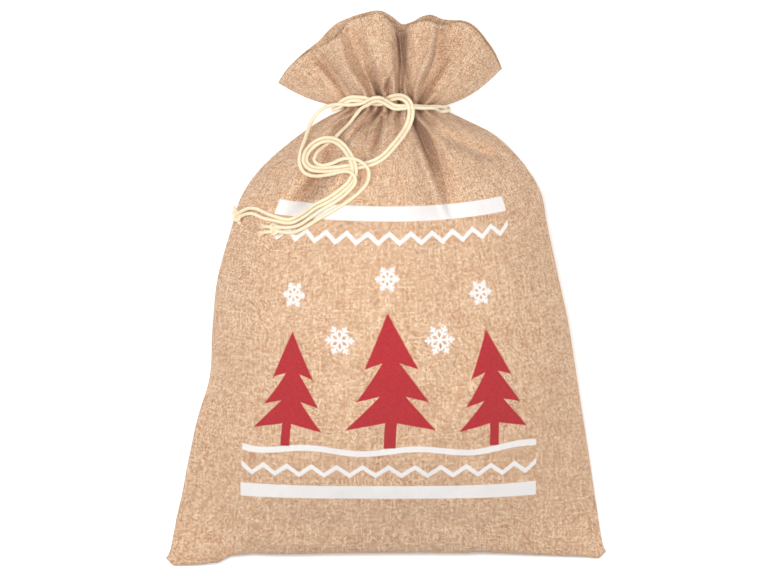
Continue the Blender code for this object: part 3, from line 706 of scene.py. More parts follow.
# Plan of the body: both side seams, and the middle line of each panel.
BODY = Table(
    "along left_x left_y right_x right_y front_y back_y",
    (
        (0.0, -0.25, -0.3053, 0.2508, -0.2974, -0.2985, -0.2985),
        (0.02, -0.244, -0.287, 0.2465, -0.281, -0.285, -0.283),
        (0.04, -0.2395, -0.268, 0.2425, -0.263, -0.27, -0.2655),
        (0.07, -0.2325, -0.24, 0.2378, -0.236, -0.248, -0.239),
        (0.12, -0.2235, -0.195, 0.2305, -0.189, -0.208, -0.195),
        (0.17, -0.212, -0.144, 0.2225, -0.139, -0.164, -0.151),
        (0.215, -0.199, -0.101, 0.215, -0.092, -0.122, -0.111),
        (0.27, -0.1955, -0.046, 0.206, -0.036, -0.068, -0.06),
        (0.33, -0.1895, 0.012, 0.193, 0.023, -0.008, -0.006),
        (0.385, -0.175, 0.065, 0.182, 0.075, 0.0465, 0.041),
        (0.425, -0.163, 0.104, 0.1745, 0.111, 0.085, 0.078),
        (0.465, -0.141, 0.136, 0.153, 0.145, 0.1215, 0.114),
        (0.5, -0.114, 0.161, 0.126, 0.172, 0.152, 0.143),
        (0.535, -0.086, 0.182, 0.095, 0.189, 0.1785, 0.1705),
        (0.562, -0.062, 0.1965, 0.07, 0.2005, 0.194, 0.1895),
        (0.578, -0.0475, 0.203, 0.0605, 0.2045, 0.202, 0.1995),
        (0.59, -0.045, 0.2078, 0.0585, 0.2082, 0.2085, 0.2075),
    ),
)

# Heights of the side seams and of the middle of each panel. The back's heights below
# zero are pressed flat by the floor.
HEIGHTS = Table(
    "along seam front back",
    (
        (0.0, 0.006, 0.026, 0.026), (0.03, 0.009, 0.048, 0.01), (0.07, 0.017, 0.076, -0.008),
        (0.12, 0.028, 0.105, -0.02), (0.18, 0.042, 0.133, -0.027), (0.25, 0.056, 0.151, -0.03),
        (0.32, 0.062, 0.157, -0.03), (0.39, 0.064, 0.153, -0.028), (0.45, 0.063, 0.141, -0.022),
        (0.5, 0.06, 0.122, -0.008), (0.54, 0.056, 0.103, 0.008), (0.57, 0.053, 0.088, 0.02),
        (0.59, 0.052, 0.081, 0.026), (0.61, 0.049, 0.087, 0.022), (0.64, 0.038, 0.093, 0.013),
        (0.67, 0.024, 0.092, 0.008), (0.7, 0.012, 0.086, 0.006),
    ),
)

# How the rows bulge: the angle of the arc that a row follows, how square its crown is,
# and how late its ends bend along the sack.
ROWS = Table(
    "along arc crown bend",
    (
        (0.0, 0.15, 2.5, 7.0), (0.06, 0.55, 2.3, 4.0), (0.15, 0.95, 2.1, 2.5),
        (0.3, 1.03, 2.0, 2.0), (0.45, 0.95, 2.1, 2.0), (0.53, 0.7, 2.6, 2.0),
        (0.59, 0.2, 4.0, 2.0), (0.64, 0.2, 3.4, 2.0), (0.7, 0.2, 3.0, 2.0),
    ),
)

# The bottom seam in plan: two blunt corners, and a pucker that lets the left one hang.
BOTTOM = Table(
    "across y",
    (
        (-1.0, -0.3053), (-0.966, -0.3146), (-0.85, -0.313), (-0.76, -0.3105), (-0.7, -0.3022),
        (-0.6, -0.2998), (-0.5, -0.301), (-0.18, -0.2993), (0.2, -0.2988), (0.35, -0.2998),
        (0.42, -0.2983), (0.66, -0.3012), (0.91, -0.3041), (0.966, -0.3066), (1.0, -0.2974),
    ),
)
BOTTOM_REACH = 0.055  # how far up the cloth the bottom seam's line is felt
BOTTOM_HOLD = 0.03  # how far up from it creases are held back

# The mouth spreads as a fan round FAN_CENTRE, from the left tip to the right tip. At the
# side seams it first spreads sideways and then rises, by the two powers of its opening.
FAN_CENTRE = (0.0075, 0.190)
FAN_LEFT, FAN_RIGHT = math.radians(161.0), math.radians(26.0)
FAN_SPREAD_POWER, FAN_RISE_POWER = (1.35, 0.95), (1.0, 1.75)  # in the middle, at the seams
MOUTH = Table(
    "across front_radius back_radius",
    (
        (-1.0, 0.1355, 0.1366), (-0.77, 0.1255, 0.1278), (-0.58, 0.1145, 0.1229),
        (-0.37, 0.1145, 0.1272), (-0.3, 0.12, 0.127), (-0.17, 0.1203, 0.1266),
        (-0.03, 0.119, 0.125), (0.05, 0.108, 0.118), (0.12, 0.1, 0.111), (0.22, 0.109, 0.1145),
        (0.33, 0.118, 0.1275), (0.45, 0.1205, 0.129), (0.6, 0.1365, 0.141), (0.8, 0.1375, 0.1403),
        (1.0, 0.1366, 0.1381),
    ),
)

# Pleats gathered by the drawstring. Each is a valley that starts at `neck` and drifts to
# `body` down the sack and to `mouth` up the ruffle. The reaches say how far it stays deep
# each way, the depths how much deeper it gets there than at the neck, and the widths and
# their spread how wide it is on each side and becomes.
PLEAT_NAMES = "neck body mouth reach_down reach_up depth_down depth_up left right spread"
PLEAT_DEPTH = 0.0250
PLEAT_DRIFT = 0.045
PLEAT_DEEPENING = 0.022
FRONT_PLEATS = Table(
    PLEAT_NAMES,
    (
        (-0.86, -0.72, -0.64, 0.075, 0.095, 1.0, 1.2, 0.11, 0.12, 0.9),
        (-0.62, -0.5, -0.5, 0.15, 0.026, 1.5, 1.0, 0.12, 0.1, 0.9),
        (-0.42, -0.4, -0.38, 0.032, 0.05, 1.0, 1.0, 0.1, 0.1, 0.3),
        (-0.23, -0.25, -0.3, 0.09, 0.085, 1.2, 1.1, 0.1, 0.09, 0.7),
        (-0.04, 0.0, -0.06, 0.032, 0.028, 1.0, 1.0, 0.09, 0.1, 0.3),
        (0.18, 0.15, 0.12, 0.04, 0.15, 1.0, 1.7, 0.11, 0.1, 0.3),
        (0.4, 0.29, 0.4, 0.14, 0.04, 1.7, 1.0, 0.09, 0.12, 1.3),
        (0.62, 0.5, 0.62, 0.075, 0.095, 1.2, 1.3, 0.12, 0.11, 0.8),
        (0.83, 0.74, 0.84, 0.04, 0.028, 1.0, 1.0, 0.1, 0.11, 0.3),
    ),
)
BACK_PLEATS = Table(
    PLEAT_NAMES,
    (
        (-0.84, -0.76, -0.8, 0.05, 0.07, 1.0, 1.0, 0.12, 0.13, 0.8),
        (-0.58, -0.5, -0.52, 0.11, 0.09, 1.2, 1.0, 0.13, 0.13, 0.8),
        (-0.31, -0.3, -0.3, 0.036, 0.04, 1.0, 1.0, 0.13, 0.13, 0.3),
        (-0.05, -0.04, -0.06, 0.095, 0.1, 1.2, 1.0, 0.13, 0.13, 0.8),
        (0.22, 0.2, 0.2, 0.036, 0.04, 1.0, 1.0, 0.13, 0.13, 0.3),
        (0.48, 0.42, 0.46, 0.1, 0.09, 1.2, 1.0, 0.13, 0.13, 0.8),
        (0.75, 0.66, 0.74, 0.06, 0.07, 1.0, 1.0, 0.13, 0.12, 0.7),
    ),
)

# Soft creases away from the neck: a valley from one place on the cloth to another.
CREASE_NAMES = "across_1 along_1 across_2 along_2 half_width depth"
FRONT_CREASES = Table(
    CREASE_NAMES,
    (
        (-0.97, 0.215, -0.78, 0.11, 0.03, 0.006), (-0.5, 0.47, -0.72, 0.355, 0.042, 0.008),
        (-0.8, 0.47, -0.7, 0.43, 0.026, 0.005), (0.38, 0.265, 0.16, 0.19, 0.026, 0.004),
        (0.8, 0.14, 0.84, 0.2, 0.028, 0.004), (0.72, 0.5, 0.9, 0.48, 0.024, 0.005),
        (-0.7, 0.02, -0.62, 0.004, 0.022, 0.005), (0.27, 0.018, 0.3, 0.004, 0.022, 0.003),
    ),
)
BACK_CREASES = Table(
    CREASE_NAMES,
    (
        (-0.55, 0.11, 0.35, 0.095, 0.034, 0.007), (-0.3, 0.455, 0.55, 0.47, 0.036, 0.008),
        (-0.9, 0.23, -0.72, 0.15, 0.032, 0.006), (0.88, 0.26, 0.74, 0.18, 0.032, 0.006),
    ),
)

# Each side seam is open round the channel, for the drawstring.
SLOT_HALF_LENGTH, SLOT_RAMP, SLOT_RISE = 0.024, 0.012, 0.0054
SLOT_FROM, SLOT_FADE = 0.8, 0.15  # where across its rise starts, and over how much

FOLD_SCALE = 1.7  # how much deeper the folds are than the depths read from the shading


@dataclass(frozen=True)
class Fold:
    """A fine fold seen from above: a valley along a path that runs down the picture."""

    path: tuple[tuple[float, float], ...]
    depth: float
    left: float
    right: float
    sharp: float = 0.5
    start: float = 1.0
    end: float = 0.2
    ridge: float = 0.0
    full_at: float = 0.33

    def fall(self, x: Array, y: Array) -> Array:
        """How deep the fold lies at places in plan.

        With u the distance from the path as a share of the width on that side, the
        valley is (1-u)^2 (1+u), sharp, or (1-u)^2 (1+2u), soft. Its depth runs from
        `start` through 1 at `full_at` of the way to `end`. A ridge stands on its left.

        Args:
            x: places to the right.
            y: places up the picture.

        Returns:
            The depth at each, in metres.
        """
        corners = np.array(self.path)
        before = run_along(corners)
        nearest = np.full(x.shape, np.inf)
        side, share = np.zeros_like(x), np.zeros_like(x)
        for first, last, run, end in zip(corners[:-1], corners[1:], before[:-1], before[1:]):
            way = unit(last - first)
            out_x, out_y = x - first[0], y - first[1]
            at = np.clip(out_x * way[0] + out_y * way[1], 0.0, end - run)
            away = np.hypot(out_x - at * way[0], out_y - at * way[1])
            turned = np.where(way[0] * out_y - way[1] * out_x >= 0, 1.0, -1.0)
            closer = away < nearest
            side = np.where(closer, away * turned, side)
            share = np.where(closer, (run + at) / before[-1], share)
            nearest = np.where(closer, away, nearest)
        level = np.interp(share, (0.0, self.full_at, 1.0), (self.start, 1.0, self.end))
        u = np.clip(np.abs(side) / np.where(side < 0, self.left, self.right), 0.0, 1.0)
        valley = (1 - u) ** 2 * (1 + (2 - self.sharp) * u)
        crest = self.ridge * bump(side + self.left, self.left)
        return (self.depth * valley - crest) * level * FOLD_SCALE


FRONT_FOLDS = (
    Fold(
        ((0.0305, 0.195), (0.043, 0.163), (0.0575, 0.127), (0.0655, 0.104), (0.071, 0.086)),
        0.018, 0.006, 0.023, 1.0, 0.6, 0.15, 0.0036,
    ),
    Fold(((0.047, 0.196), (0.054, 0.188)), 0.006, 0.005, 0.009, 1.0, 1.0, 0.3),
    Fold(((0.073, 0.172), (0.109, 0.15)), 0.0095, 0.012, 0.016, 0.6, 0.5, 0.6),
    Fold(((0.109, 0.15), (0.139, 0.15)), 0.0075, 0.008, 0.01, 0.8, 0.8, 0.1),
    Fold(
        ((0.125, 0.164), (0.139, 0.15), (0.1525, 0.129), (0.158, 0.0975)),
        -0.0016, 0.004, 0.004, 0.2, 0.4, 0.2,
    ),
    Fold(
        ((-0.003, 0.196), (-0.0052, 0.18), (-0.0085, 0.165), (-0.016, 0.145)),
        0.0165, 0.013, 0.005, 1.0, 0.9, 0.15,
    ),
    Fold(
        ((-0.014, 0.1985), (-0.029, 0.182), (-0.0425, 0.1678), (-0.051, 0.154)),
        0.013, 0.006, 0.009, 0.9, 0.9, 0.15,
    ),
    Fold(
        ((-0.0266, 0.2066), (-0.0527, 0.1848), (-0.0686, 0.1678), (-0.0845, 0.1417)),
        0.0145, 0.007, 0.012, 0.9, 0.7, 0.1,
    ),
    Fold(
        ((-0.064, 0.134), (-0.078, 0.12), (-0.093, 0.106), (-0.109, 0.09)),
        0.017, 0.013, 0.015, 0.8, 0.5, 0.2,
    ),
    Fold(((-0.127, 0.126), (-0.104, 0.129)), 0.0045, 0.01, 0.014, 0.4, 0.4, 0.4),
    Fold(
        ((-0.1015, 0.1746), (-0.1208, 0.1429), (-0.1332, 0.1293), (-0.1514, 0.0975)),
        -0.0016, 0.004, 0.004, 0.2, 0.4, 0.2,
    ),
    Fold(
        ((0.0108, 0.308), (0.014, 0.289), (0.0176, 0.271), (0.0198, 0.2506), (0.0187, 0.228)),
        0.019, 0.006, 0.02, 0.9, 0.35, 0.6, 0.004,
    ),
    Fold(((0.021, 0.255), (0.0278, 0.215)), 0.006, 0.006, 0.008, 1.0, 0.1, 1.0),
    Fold(
        ((0.0618, 0.298), (0.055, 0.2597), (0.0414, 0.2279), (0.0368, 0.212)),
        0.016, 0.007, 0.021, 0.9, 0.6, 0.6, 0.0045,
    ),
    Fold(
        ((-0.0425, 0.289), (-0.0334, 0.2528), (-0.0085, 0.218)),
        0.011, 0.012, 0.022, 0.7, 0.6, 0.8, 0.002,
    ),
    Fold(((-0.0074, 0.243), (-0.0067, 0.217)), 0.005, 0.004, 0.006, 0.9, 0.2, 1.0),
    Fold(((0.0142, 0.254), (0.0051, 0.237), (-0.004, 0.218)), 0.005, 0.005, 0.007, 0.9, 0.2, 1.0),
    Fold(((-0.0788, 0.264), (-0.0357, 0.217)), 0.008, 0.009, 0.017, 0.6, 0.6, 0.8, 0.0015),
    Fold(((0.098, 0.275), (0.078, 0.242), (0.056, 0.216)), 0.0045, 0.012, 0.016, 0.4, 0.3, 1.0),
)

# Slack waves of the cloth: height, wavelength, direction and shift.
SLACK = (
    (0.00045, 0.061, 0.4, 0.3), (0.00040, 0.047, 1.3, 1.9), (0.00030, 0.031, 2.2, 4.4),
    (0.00022, 0.023, 0.9, 2.7), (0.00016, 0.017, 2.8, 0.8), (0.00050, 0.094, 2.6, 5.1),
)

# Puckers along the stitches: two wavelengths, how the first wanders, and the half width
# and height of the strip at the hem and of those at the channel.
PUCKER_WAVES, PUCKER_WANDER = (0.0083, 0.0137), (3.1, 71.0)
HEM_PUCKER, CHANNEL_PUCKER = (0.012, 0.00015), (0.010, 0.00035)


class Side(Enum):
    """Which panel of the sack."""

    FRONT = "front"
    BACK = "back"


@dataclass
class Panel:
    """One panel of the sack: a woven sheet, gathered at the neck, its mouth hemmed inside.

    Its methods take `across` and `along`, the places across and along the panel.
    """

    side: Side
    pleats: Table
    creases: Table
    folds: tuple[Fold, ...] = ()
    thickness: float = 0.0012
    inner_columns: int = 186
    inner_reach: float = 0.97
    first_row: float = 0.007
    low_rows: int = 136
    neck_rows: int = 40
    high_rows: int = 40
    neck_half: float = 0.045
    edges: tuple[float, ...] = (0.0, 0.0006, 0.0014, 0.0026, 0.0045)
    edge_width: float = 0.004
    edge_share: float = 0.42  # of the thickness, half the way between the panels at an edge
    pressing: float = 0.005  # the height over which the floor flattens the back
    hem_depth: float = 0.013
    hem_radius: float = 0.0010
    hem_turn: int = 6
    hem_stitch: float = 0.0105
    channel: tuple[float, float] = (0.576, 0.604)
    stitch: float = 0.0034
    stitch_margin: float = 0.006
    stitch_points: int = 6
    thread: float = 0.00042

    @property
    def name(self) -> str:
        """The CAD node that the panel stands for."""
        return self.side.value + "_panel"

    def pleat_depth(self, across: Array, along: Array) -> Array:
        """How deep the gathers are: each a valley with a sharp foot and round shoulders.

        A pleat's valley is (1-u)^2 (1+u) of its width, deepens away from the neck and
        dies out beyond its reach; where pleats meet, the deeper one shows.

        Args:
            across: -1 to 1.
            along: metres.

        Returns:
            The depth at each place, in metres.
        """
        total = np.zeros_like(across)
        past = along - NECK
        below = past < 0
        drift = 1 - np.exp(-np.abs(past) / PLEAT_DRIFT)
        grown = 1 - np.exp(-np.abs(past) / PLEAT_DEEPENING)
        for row in self.pleats.rows:
            neck, body, mouth, down, up, deep_down, deep_up, left, right, spread = row
            aside = across - (neck + (np.where(below, body, mouth) - neck) * drift)
            away = np.where(below, -past / down, past / up)
            width = np.where(aside < 0, left, right) * (1 + spread * np.minimum(away, 1.5))
            u = np.clip(np.abs(aside) / width, 0.0, 1.0)
            deepening = 1 + (np.where(below, deep_down, deep_up) - 1) * grown
            total = total + (deepening * np.exp(-(away**1.5)) * (1 - u) ** 2 * (1 + u)) ** 4
        return PLEAT_DEPTH * total**0.25

    def crease_depth(self, across: Array, along: Array) -> Array:
        """How deep the soft creases are: bumps about short straight lines on the flat cloth.

        Args:
            across: -1 to 1.
            along: metres.

        Returns:
            The depth at each place, in metres.
        """
        depth = np.zeros_like(across)
        for across_1, along_1, across_2, along_2, half_width, deepest in self.creases.rows:
            run = ((across_2 - across_1) * HALF_WIDTH, along_2 - along_1)
            out = (across - across_1) * HALF_WIDTH, along - along_1
            share = np.clip((out[0] * run[0] + out[1] * run[1]) / np.dot(run, run), 0, 1)
            aside = np.hypot(out[0] - share * run[0], out[1] - share * run[1])
            taper = 1 - 0.6 * (2 * share - 1) ** 2
            depth = depth + deepest * taper * bump(aside, half_width)
        return depth

    def body_plan(self, across: Array, along: Array) -> tuple[Array, Array]:
        """Seen from above, rows follow arcs between the seams and bend towards their ends.

        Args:
            across: -1 to 1.
            along: metres, up to the neck.

        Returns:
            x and y.
        """
        names = ("left_x", "left_y", "right_x", "right_y", self.side.value + "_y")
        left_x, left_y, right_x, right_y, middle_y = (BODY.read(name, along) for name in names)
        arc, bend = ROWS.read("arc", along), ROWS.read("bend", along)
        x = (left_x + right_x) / 2 + (right_x - left_x) / 2 * np.sin(arc * across) / np.sin(arc)
        side_y = np.where(across < 0, left_y, right_y)
        y = middle_y + (side_y - middle_y) * np.abs(across) ** bend
        hold = np.clip(1 - along / BOTTOM_REACH, 0, 1) ** 2
        return x, y + (np.interp(across, *np.transpose(BOTTOM.rows)) - y) * hold

    def plan(self, across: Array, along: Array) -> tuple[Array, Array]:
        """Where places lie, seen from above: the body, then the ruffle's fan.

        Above the neck a place moves from the neck's row towards a fan of rays, by one
        power of the way to the mouth sideways and by another upwards.

        Args:
            across: -1 to 1.
            along: metres.

        Returns:
            x and y.
        """
        x, y = self.body_plan(across, np.minimum(along, NECK))
        opening = np.clip((along - NECK) / (PANEL_LENGTH - NECK), 0, 1)
        angle = (FAN_LEFT + FAN_RIGHT) / 2 + (FAN_RIGHT - FAN_LEFT) / 2 * across
        radius = MOUTH.read(self.side.value + "_radius", across)
        seamward = np.abs(across) ** 3
        spread, rise = (
            opening ** (inner + (outer - inner) * seamward)
            for inner, outer in (FAN_SPREAD_POWER, FAN_RISE_POWER)
        )
        fan_x = FAN_CENTRE[0] + radius * np.cos(angle)
        fan_y = FAN_CENTRE[1] + radius * np.sin(angle)
        return x + (fan_x - x) * spread, y + (fan_y - y) * rise

    def unevenness(self, across: Array, along: Array) -> Array:
        """Small waves of slack cloth, and puckers along the stitching.

        Args:
            across: -1 to 1.
            along: metres.

        Returns:
            Heights about zero, in metres: sums of slanted sines, and short sines across
            the cloth that fade a centimetre from a row of stitches.
        """
        u = across * HALF_WIDTH
        slack = sum(
            size * np.sin(math.tau * (u * np.cos(turn) + along * np.sin(turn)) / length + shift)
            for size, length, turn, shift in SLACK
        )
        first, second = PUCKER_WAVES
        wander = PUCKER_WANDER[0] * np.sin(u * PUCKER_WANDER[1])
        pucker = np.sin(math.tau * u / first + wander) + 0.6 * np.sin(math.tau * u / second)
        hem = PANEL_LENGTH - self.hem_stitch
        rows = [(hem, HEM_PUCKER), *((line, CHANNEL_PUCKER) for line in self.channel)]
        strips = sum(bump(along - line, half) * high for line, (half, high) in rows)
        return slack + pucker * strips

    def cloth(self, across: Array, along: Array) -> Array:
        """The middle of the cloth's thickness, in the solids' own lie with finer folds.

        Between the seams' height and the panel's middle a row rises by 1 - |across| to
        the row's crown power, less its pleats, creases and folds. What would lie under
        the floor is pressed flat.

        Args:
            across: -1 to 1.
            along: metres.

        Returns:
            x, y and z, in the last axis.
        """
        x, y = self.plan(across, along)
        seam, middle = HEIGHTS.read("seam", along), HEIGHTS.read(self.side.value, along)
        share = 1 - np.abs(across) ** ROWS.read("crown", along)
        slot = smoothstep((SLOT_HALF_LENGTH - np.abs(along - NECK)) / SLOT_RAMP)
        from_edge = np.minimum((1 - np.abs(across)) * HALF_WIDTH, along)
        at_edge = 1 - smoothstep(from_edge / self.edge_width)
        parting = SEAM_PARTING + (self.thickness * self.edge_share - SEAM_PARTING) * at_edge
        outer = smoothstep((np.abs(across) - SLOT_FROM) / SLOT_FADE)
        parting = parting + SLOT_RISE * slot * outer
        loose = np.sqrt(share) * smoothstep(along / BOTTOM_HOLD)
        folds = self.crease_depth(across, along) - self.unevenness(across, along)
        folds = self.pleat_depth(across, along) * share + folds * loose
        for fold in self.folds:
            folds = folds + fold.fall(x, y) * loose
        level = seam + (middle - seam) * share
        if self.side is Side.FRONT:
            z = level - folds + parting
        else:
            level = level - parting - self.thickness / 2
            near = (level + self.pressing) ** 2 / (4 * self.pressing)
            pressed = np.where(level < -self.pressing, 0.0, near)
            flat = np.where(level > self.pressing, level, pressed)
            z = flat + folds + self.thickness / 2
        return np.stack([x, y, np.maximum(z, self.thickness / 2)], axis=-1)

    def grid(self) -> list[Array]:
        """Places in rows and columns that are denser at the seams and round the neck.

        Returns:
            How far across each is, and how far along.
        """
        edges = np.array(self.edges)
        inner = np.linspace(-self.inner_reach, self.inner_reach, self.inner_columns)
        side = edges / HALF_WIDTH
        low, high = NECK - self.neck_half, NECK + self.neck_half
        along = (
            edges,
            np.linspace(self.first_row, low, self.low_rows, endpoint=False),
            np.linspace(low, high, self.neck_rows, endpoint=False),
            np.linspace(high, PANEL_LENGTH, self.high_rows),
        )
        return np.meshgrid(np.concatenate([side - 1, inner, 1 - side[::-1]]), np.concatenate(along))

    def surface(self) -> tuple[Array, Array]:
        """The panel's middle surface with its hem, and each point's place on the cloth.

        At the mouth the cloth turns inwards round a half circle, r sin t past the mouth
        and r (1 - cos t) inwards, and then lies back along its own inside.

        Returns:
            The grid of points, and their places across and along in metres.
        """
        across, along = self.grid()
        points = self.cloth(across, along)
        up = unit(np.gradient(points, axis=0))
        inwards = unit(np.cross(np.gradient(points, axis=0), np.gradient(points, axis=1)))
        if self.side is Side.BACK:
            inwards = -inwards
        narrow = smoothstep((1 - np.abs(across[0])) / 0.12)[None, :, None] * 0.85 + 0.15
        turn = np.linspace(0, np.pi, self.hem_turn + 1)[1:, None, None]
        radius = self.hem_radius * narrow
        bend = points[-1] + radius * (np.sin(turn) * up[-1] + (1 - np.cos(turn)) * inwards[-1])
        back = np.arange(2, int(self.hem_depth / (along[-1, 0] - along[-2, 0])) + 2)
        under = points[-back] + 2 * radius * inwards[-back]
        past = PANEL_LENGTH - along[-back] + math.pi * self.hem_radius
        past = PANEL_LENGTH + np.concatenate([turn[:, 0] * radius[:, :, 0], past])
        turned = np.stack([np.repeat(across[:1] * HALF_WIDTH, len(past), axis=0), past], axis=-1)
        places = np.stack([across * HALF_WIDTH, along], axis=-1)
        return np.concatenate([points, bend, under]), np.concatenate([places, turned])

    def build(self, finish: Material) -> Object:
        """The panel as a sheet with its thickness.

        Args:
            finish: the cloth's material.

        Returns:
            The piece.
        """
        points, places = self.surface()
        faces = grid_faces(*points.shape[:2])
        if self.side is Side.BACK:
            faces = faces[:, ::-1]
        made = mesh_object("burlap_" + self.side.value, points, faces, finish, places)
        thick = made.modifiers.new("cloth thickness", "SOLIDIFY")
        thick.thickness = self.thickness
        thick.offset = 0.0
        return made

    def stitches(self, finish: Material) -> Object:
        """Rows of lockstitches along the hem and both sides of the channel.

        A stitch is a tube whose middle line is a shallow arch, base + h sin(pi t) over
        the cloth's middle, and which is thinner at its ends.

        Args:
            finish: the thread's material.

        Returns:
            All the stitches of the panel as one piece.
        """
        rows = np.array((PANEL_LENGTH - self.hem_stitch, *self.channel))
        count = int((PANEL_WIDTH - 2 * self.stitch_margin) / self.stitch)
        reach = 1 - self.stitch_margin / HALF_WIDTH
        share = np.linspace(0.10, 0.92, self.stitch_points)
        first = np.linspace(-1, 1, count + 1)[:-1] * reach
        across = first[None, :, None] + share * (first[1] - first[0])
        along = rows[:, None, None] + 0.00022 * np.sin(across * 91.0)
        middle = self.cloth(across, along)
        ahead = unit(self.cloth(across + 0.002, along) - middle)
        aside = unit(self.cloth(across, along + 0.0008) - middle)
        out = unit(np.cross(ahead, aside)) * (1 if self.side is Side.FRONT else -1)
        rise = np.sin(math.pi * (share - share[0]) / (share[-1] - share[0]))
        middle = middle + out * (self.thickness / 2 - 0.0002 + 0.0005 * rise)[:, None]
        ends = np.sin(math.pi * np.linspace(0.06, 0.94, self.stitch_points)) ** 0.5
        line, side, up = (part.reshape(-1, self.stitch_points, 3) for part in (middle, aside, out))
        return tubes(
            "stitches_" + self.side.value, line, side, up,
            radius=(self.thread * (0.35 + 0.65 * ends))[:, None], sides=6,
            run=np.arange(self.stitch_points) * self.stitch / self.stitch_points,
            material=finish, backwards=self.side is Side.BACK,
        )


# ---------------------------------------------------------------- the drawstrings
CORD_DIAMETER = 0.0041
PAIR_SPACING = 0.0042  # between the centrelines of two strands that run side by side
GOLDEN_ANGLE = 2.39996


@dataclass(frozen=True)
class Route:
    """The way a strand lies in plan, and its layer and parting, each with how many share it."""

    places: tuple[tuple[float, float], ...]
    layers: tuple[tuple[int, int], ...]
    partings: tuple[tuple[float, int], ...]

    def smooth(self, step: float) -> tuple[Array, Array, Array]:
        """The route as a smooth curve.

        Args:
            step: the distance between its points.

        Returns:
            Its places, its layers, and how far the strand keeps from its fellow, as a
            share of half the usual spacing.
        """
        small = 0.001  # keeps layers and partings from counting as length
        extra = [np.repeat(*zip(*spans)) for spans in (self.layers, self.partings)]
        fine = smooth_line(np.column_stack([self.places, *extra]) * (1, 1, small, small), step)
        return fine[:, :2], np.round(fine[:, 2] / small), fine[:, 3] / small


# The exits run from inside the neck, out of the slot, to where the strands lie down.
LEFT_EXITS = (
    (
        (-0.04, 0.2074, 0.0548), (-0.045, 0.207, 0.0545), (-0.0515, 0.205, 0.056),
        (-0.0552, 0.2052, 0.0632), (-0.0526, 0.2098, 0.0718),
    ),
    (
        (-0.04, 0.2074, 0.05), (-0.045, 0.2068, 0.0497), (-0.054, 0.2044, 0.0512),
        (-0.0588, 0.2035, 0.057), (-0.0592, 0.2026, 0.0645), (-0.0548, 0.2036, 0.0706),
    ),
)
LEFT_ROUTE = Route(
    (
        (-0.041, 0.2149), (-0.0305, 0.2147), (-0.0224, 0.2137), (-0.0168, 0.2117),
        (-0.0087, 0.2105), (-0.0006, 0.2119), (0.0067, 0.2155), (0.015, 0.2168), (0.0225, 0.2142),
        (0.0277, 0.207), (0.0287, 0.197), (0.0252, 0.1842), (0.0185, 0.173), (0.009, 0.161),
        (-0.001, 0.15), (-0.012, 0.143), (-0.026, 0.139), (-0.04, 0.137), (-0.057, 0.135),
        (-0.074, 0.1345), (-0.085, 0.137), (-0.0905, 0.144), (-0.089, 0.153), (-0.082, 0.162),
        (-0.071, 0.168), (-0.059, 0.168), (-0.049, 0.162), (-0.042, 0.153), (-0.037, 0.143),
        (-0.035, 0.132), (-0.039, 0.121), (-0.049, 0.111), (-0.063, 0.101), (-0.08, 0.092),
        (-0.094, 0.082), (-0.108, 0.0762), (-0.122, 0.0785), (-0.137, 0.083), (-0.15, 0.088),
        (-0.16, 0.0855),
    ),
    layers=((1, 22), (2, 18)),
    partings=((1.0, 37), (1.5, 2), (1.0, 1)),
)
RIGHT_EXITS = (
    (
        (0.0535, 0.2076, 0.0548), (0.0585, 0.2072, 0.0545), (0.065, 0.2056, 0.056),
        (0.0682, 0.2053, 0.0634), (0.0642, 0.206, 0.0722),
    ),
    (
        (0.0535, 0.2076, 0.05), (0.0585, 0.207, 0.0497), (0.0675, 0.205, 0.0512),
        (0.0718, 0.2038, 0.057), (0.0705, 0.2018, 0.0645), (0.064, 0.2008, 0.071),
    ),
)
RIGHT_OUTER_ROUTE = Route(
    (
        (0.054, 0.206), (0.0399, 0.206), (0.0286, 0.2068), (0.019, 0.2062), (0.0095, 0.2074),
        (0.0015, 0.212), (-0.006, 0.2158), (-0.014, 0.2156), (-0.0205, 0.2124), (-0.0275, 0.2095),
        (-0.041, 0.208), (-0.0573, 0.2085), (-0.069, 0.205), (-0.0795, 0.196), (-0.0865, 0.183),
        (-0.091, 0.169), (-0.096, 0.154), (-0.097, 0.142), (-0.093, 0.1325), (-0.083, 0.1275),
        (-0.071, 0.1275), (-0.059, 0.1295), (-0.049, 0.1318), (-0.0385, 0.1306), (-0.0336, 0.1218),
        (-0.041, 0.11), (-0.053, 0.1), (-0.069, 0.0905), (-0.085, 0.0795), (-0.099, 0.071),
        (-0.112, 0.0685),
    ),
    layers=((0, 4), (3, 9), (0, 6), (3, 12)),
    partings=((0.0, 31),),
)
RIGHT_INNER_ROUTE = Route(
    (
        (0.054, 0.2042), (0.0399, 0.204), (0.0286, 0.2046), (0.019, 0.2032), (0.0092, 0.2032),
        (0.001, 0.2078), (-0.0068, 0.2116), (-0.013, 0.2114), (-0.019, 0.208), (-0.0265, 0.2045),
        (-0.033, 0.1975), (-0.04, 0.188), (-0.049, 0.179), (-0.058, 0.17), (-0.069, 0.161),
        (-0.078, 0.152), (-0.08, 0.144), (-0.073, 0.1395), (-0.06, 0.1415), (-0.049, 0.146),
        (-0.037, 0.1465), (-0.026, 0.142), (-0.019, 0.133), (-0.02, 0.121), (-0.029, 0.109),
        (-0.043, 0.098), (-0.059, 0.088), (-0.076, 0.078), (-0.091, 0.069), (-0.105, 0.0635),
        (-0.114, 0.064),
    ),
    layers=((0, 4), (3, 7), (0, 4), (4, 16)),
    partings=((0.0, 31),),
)


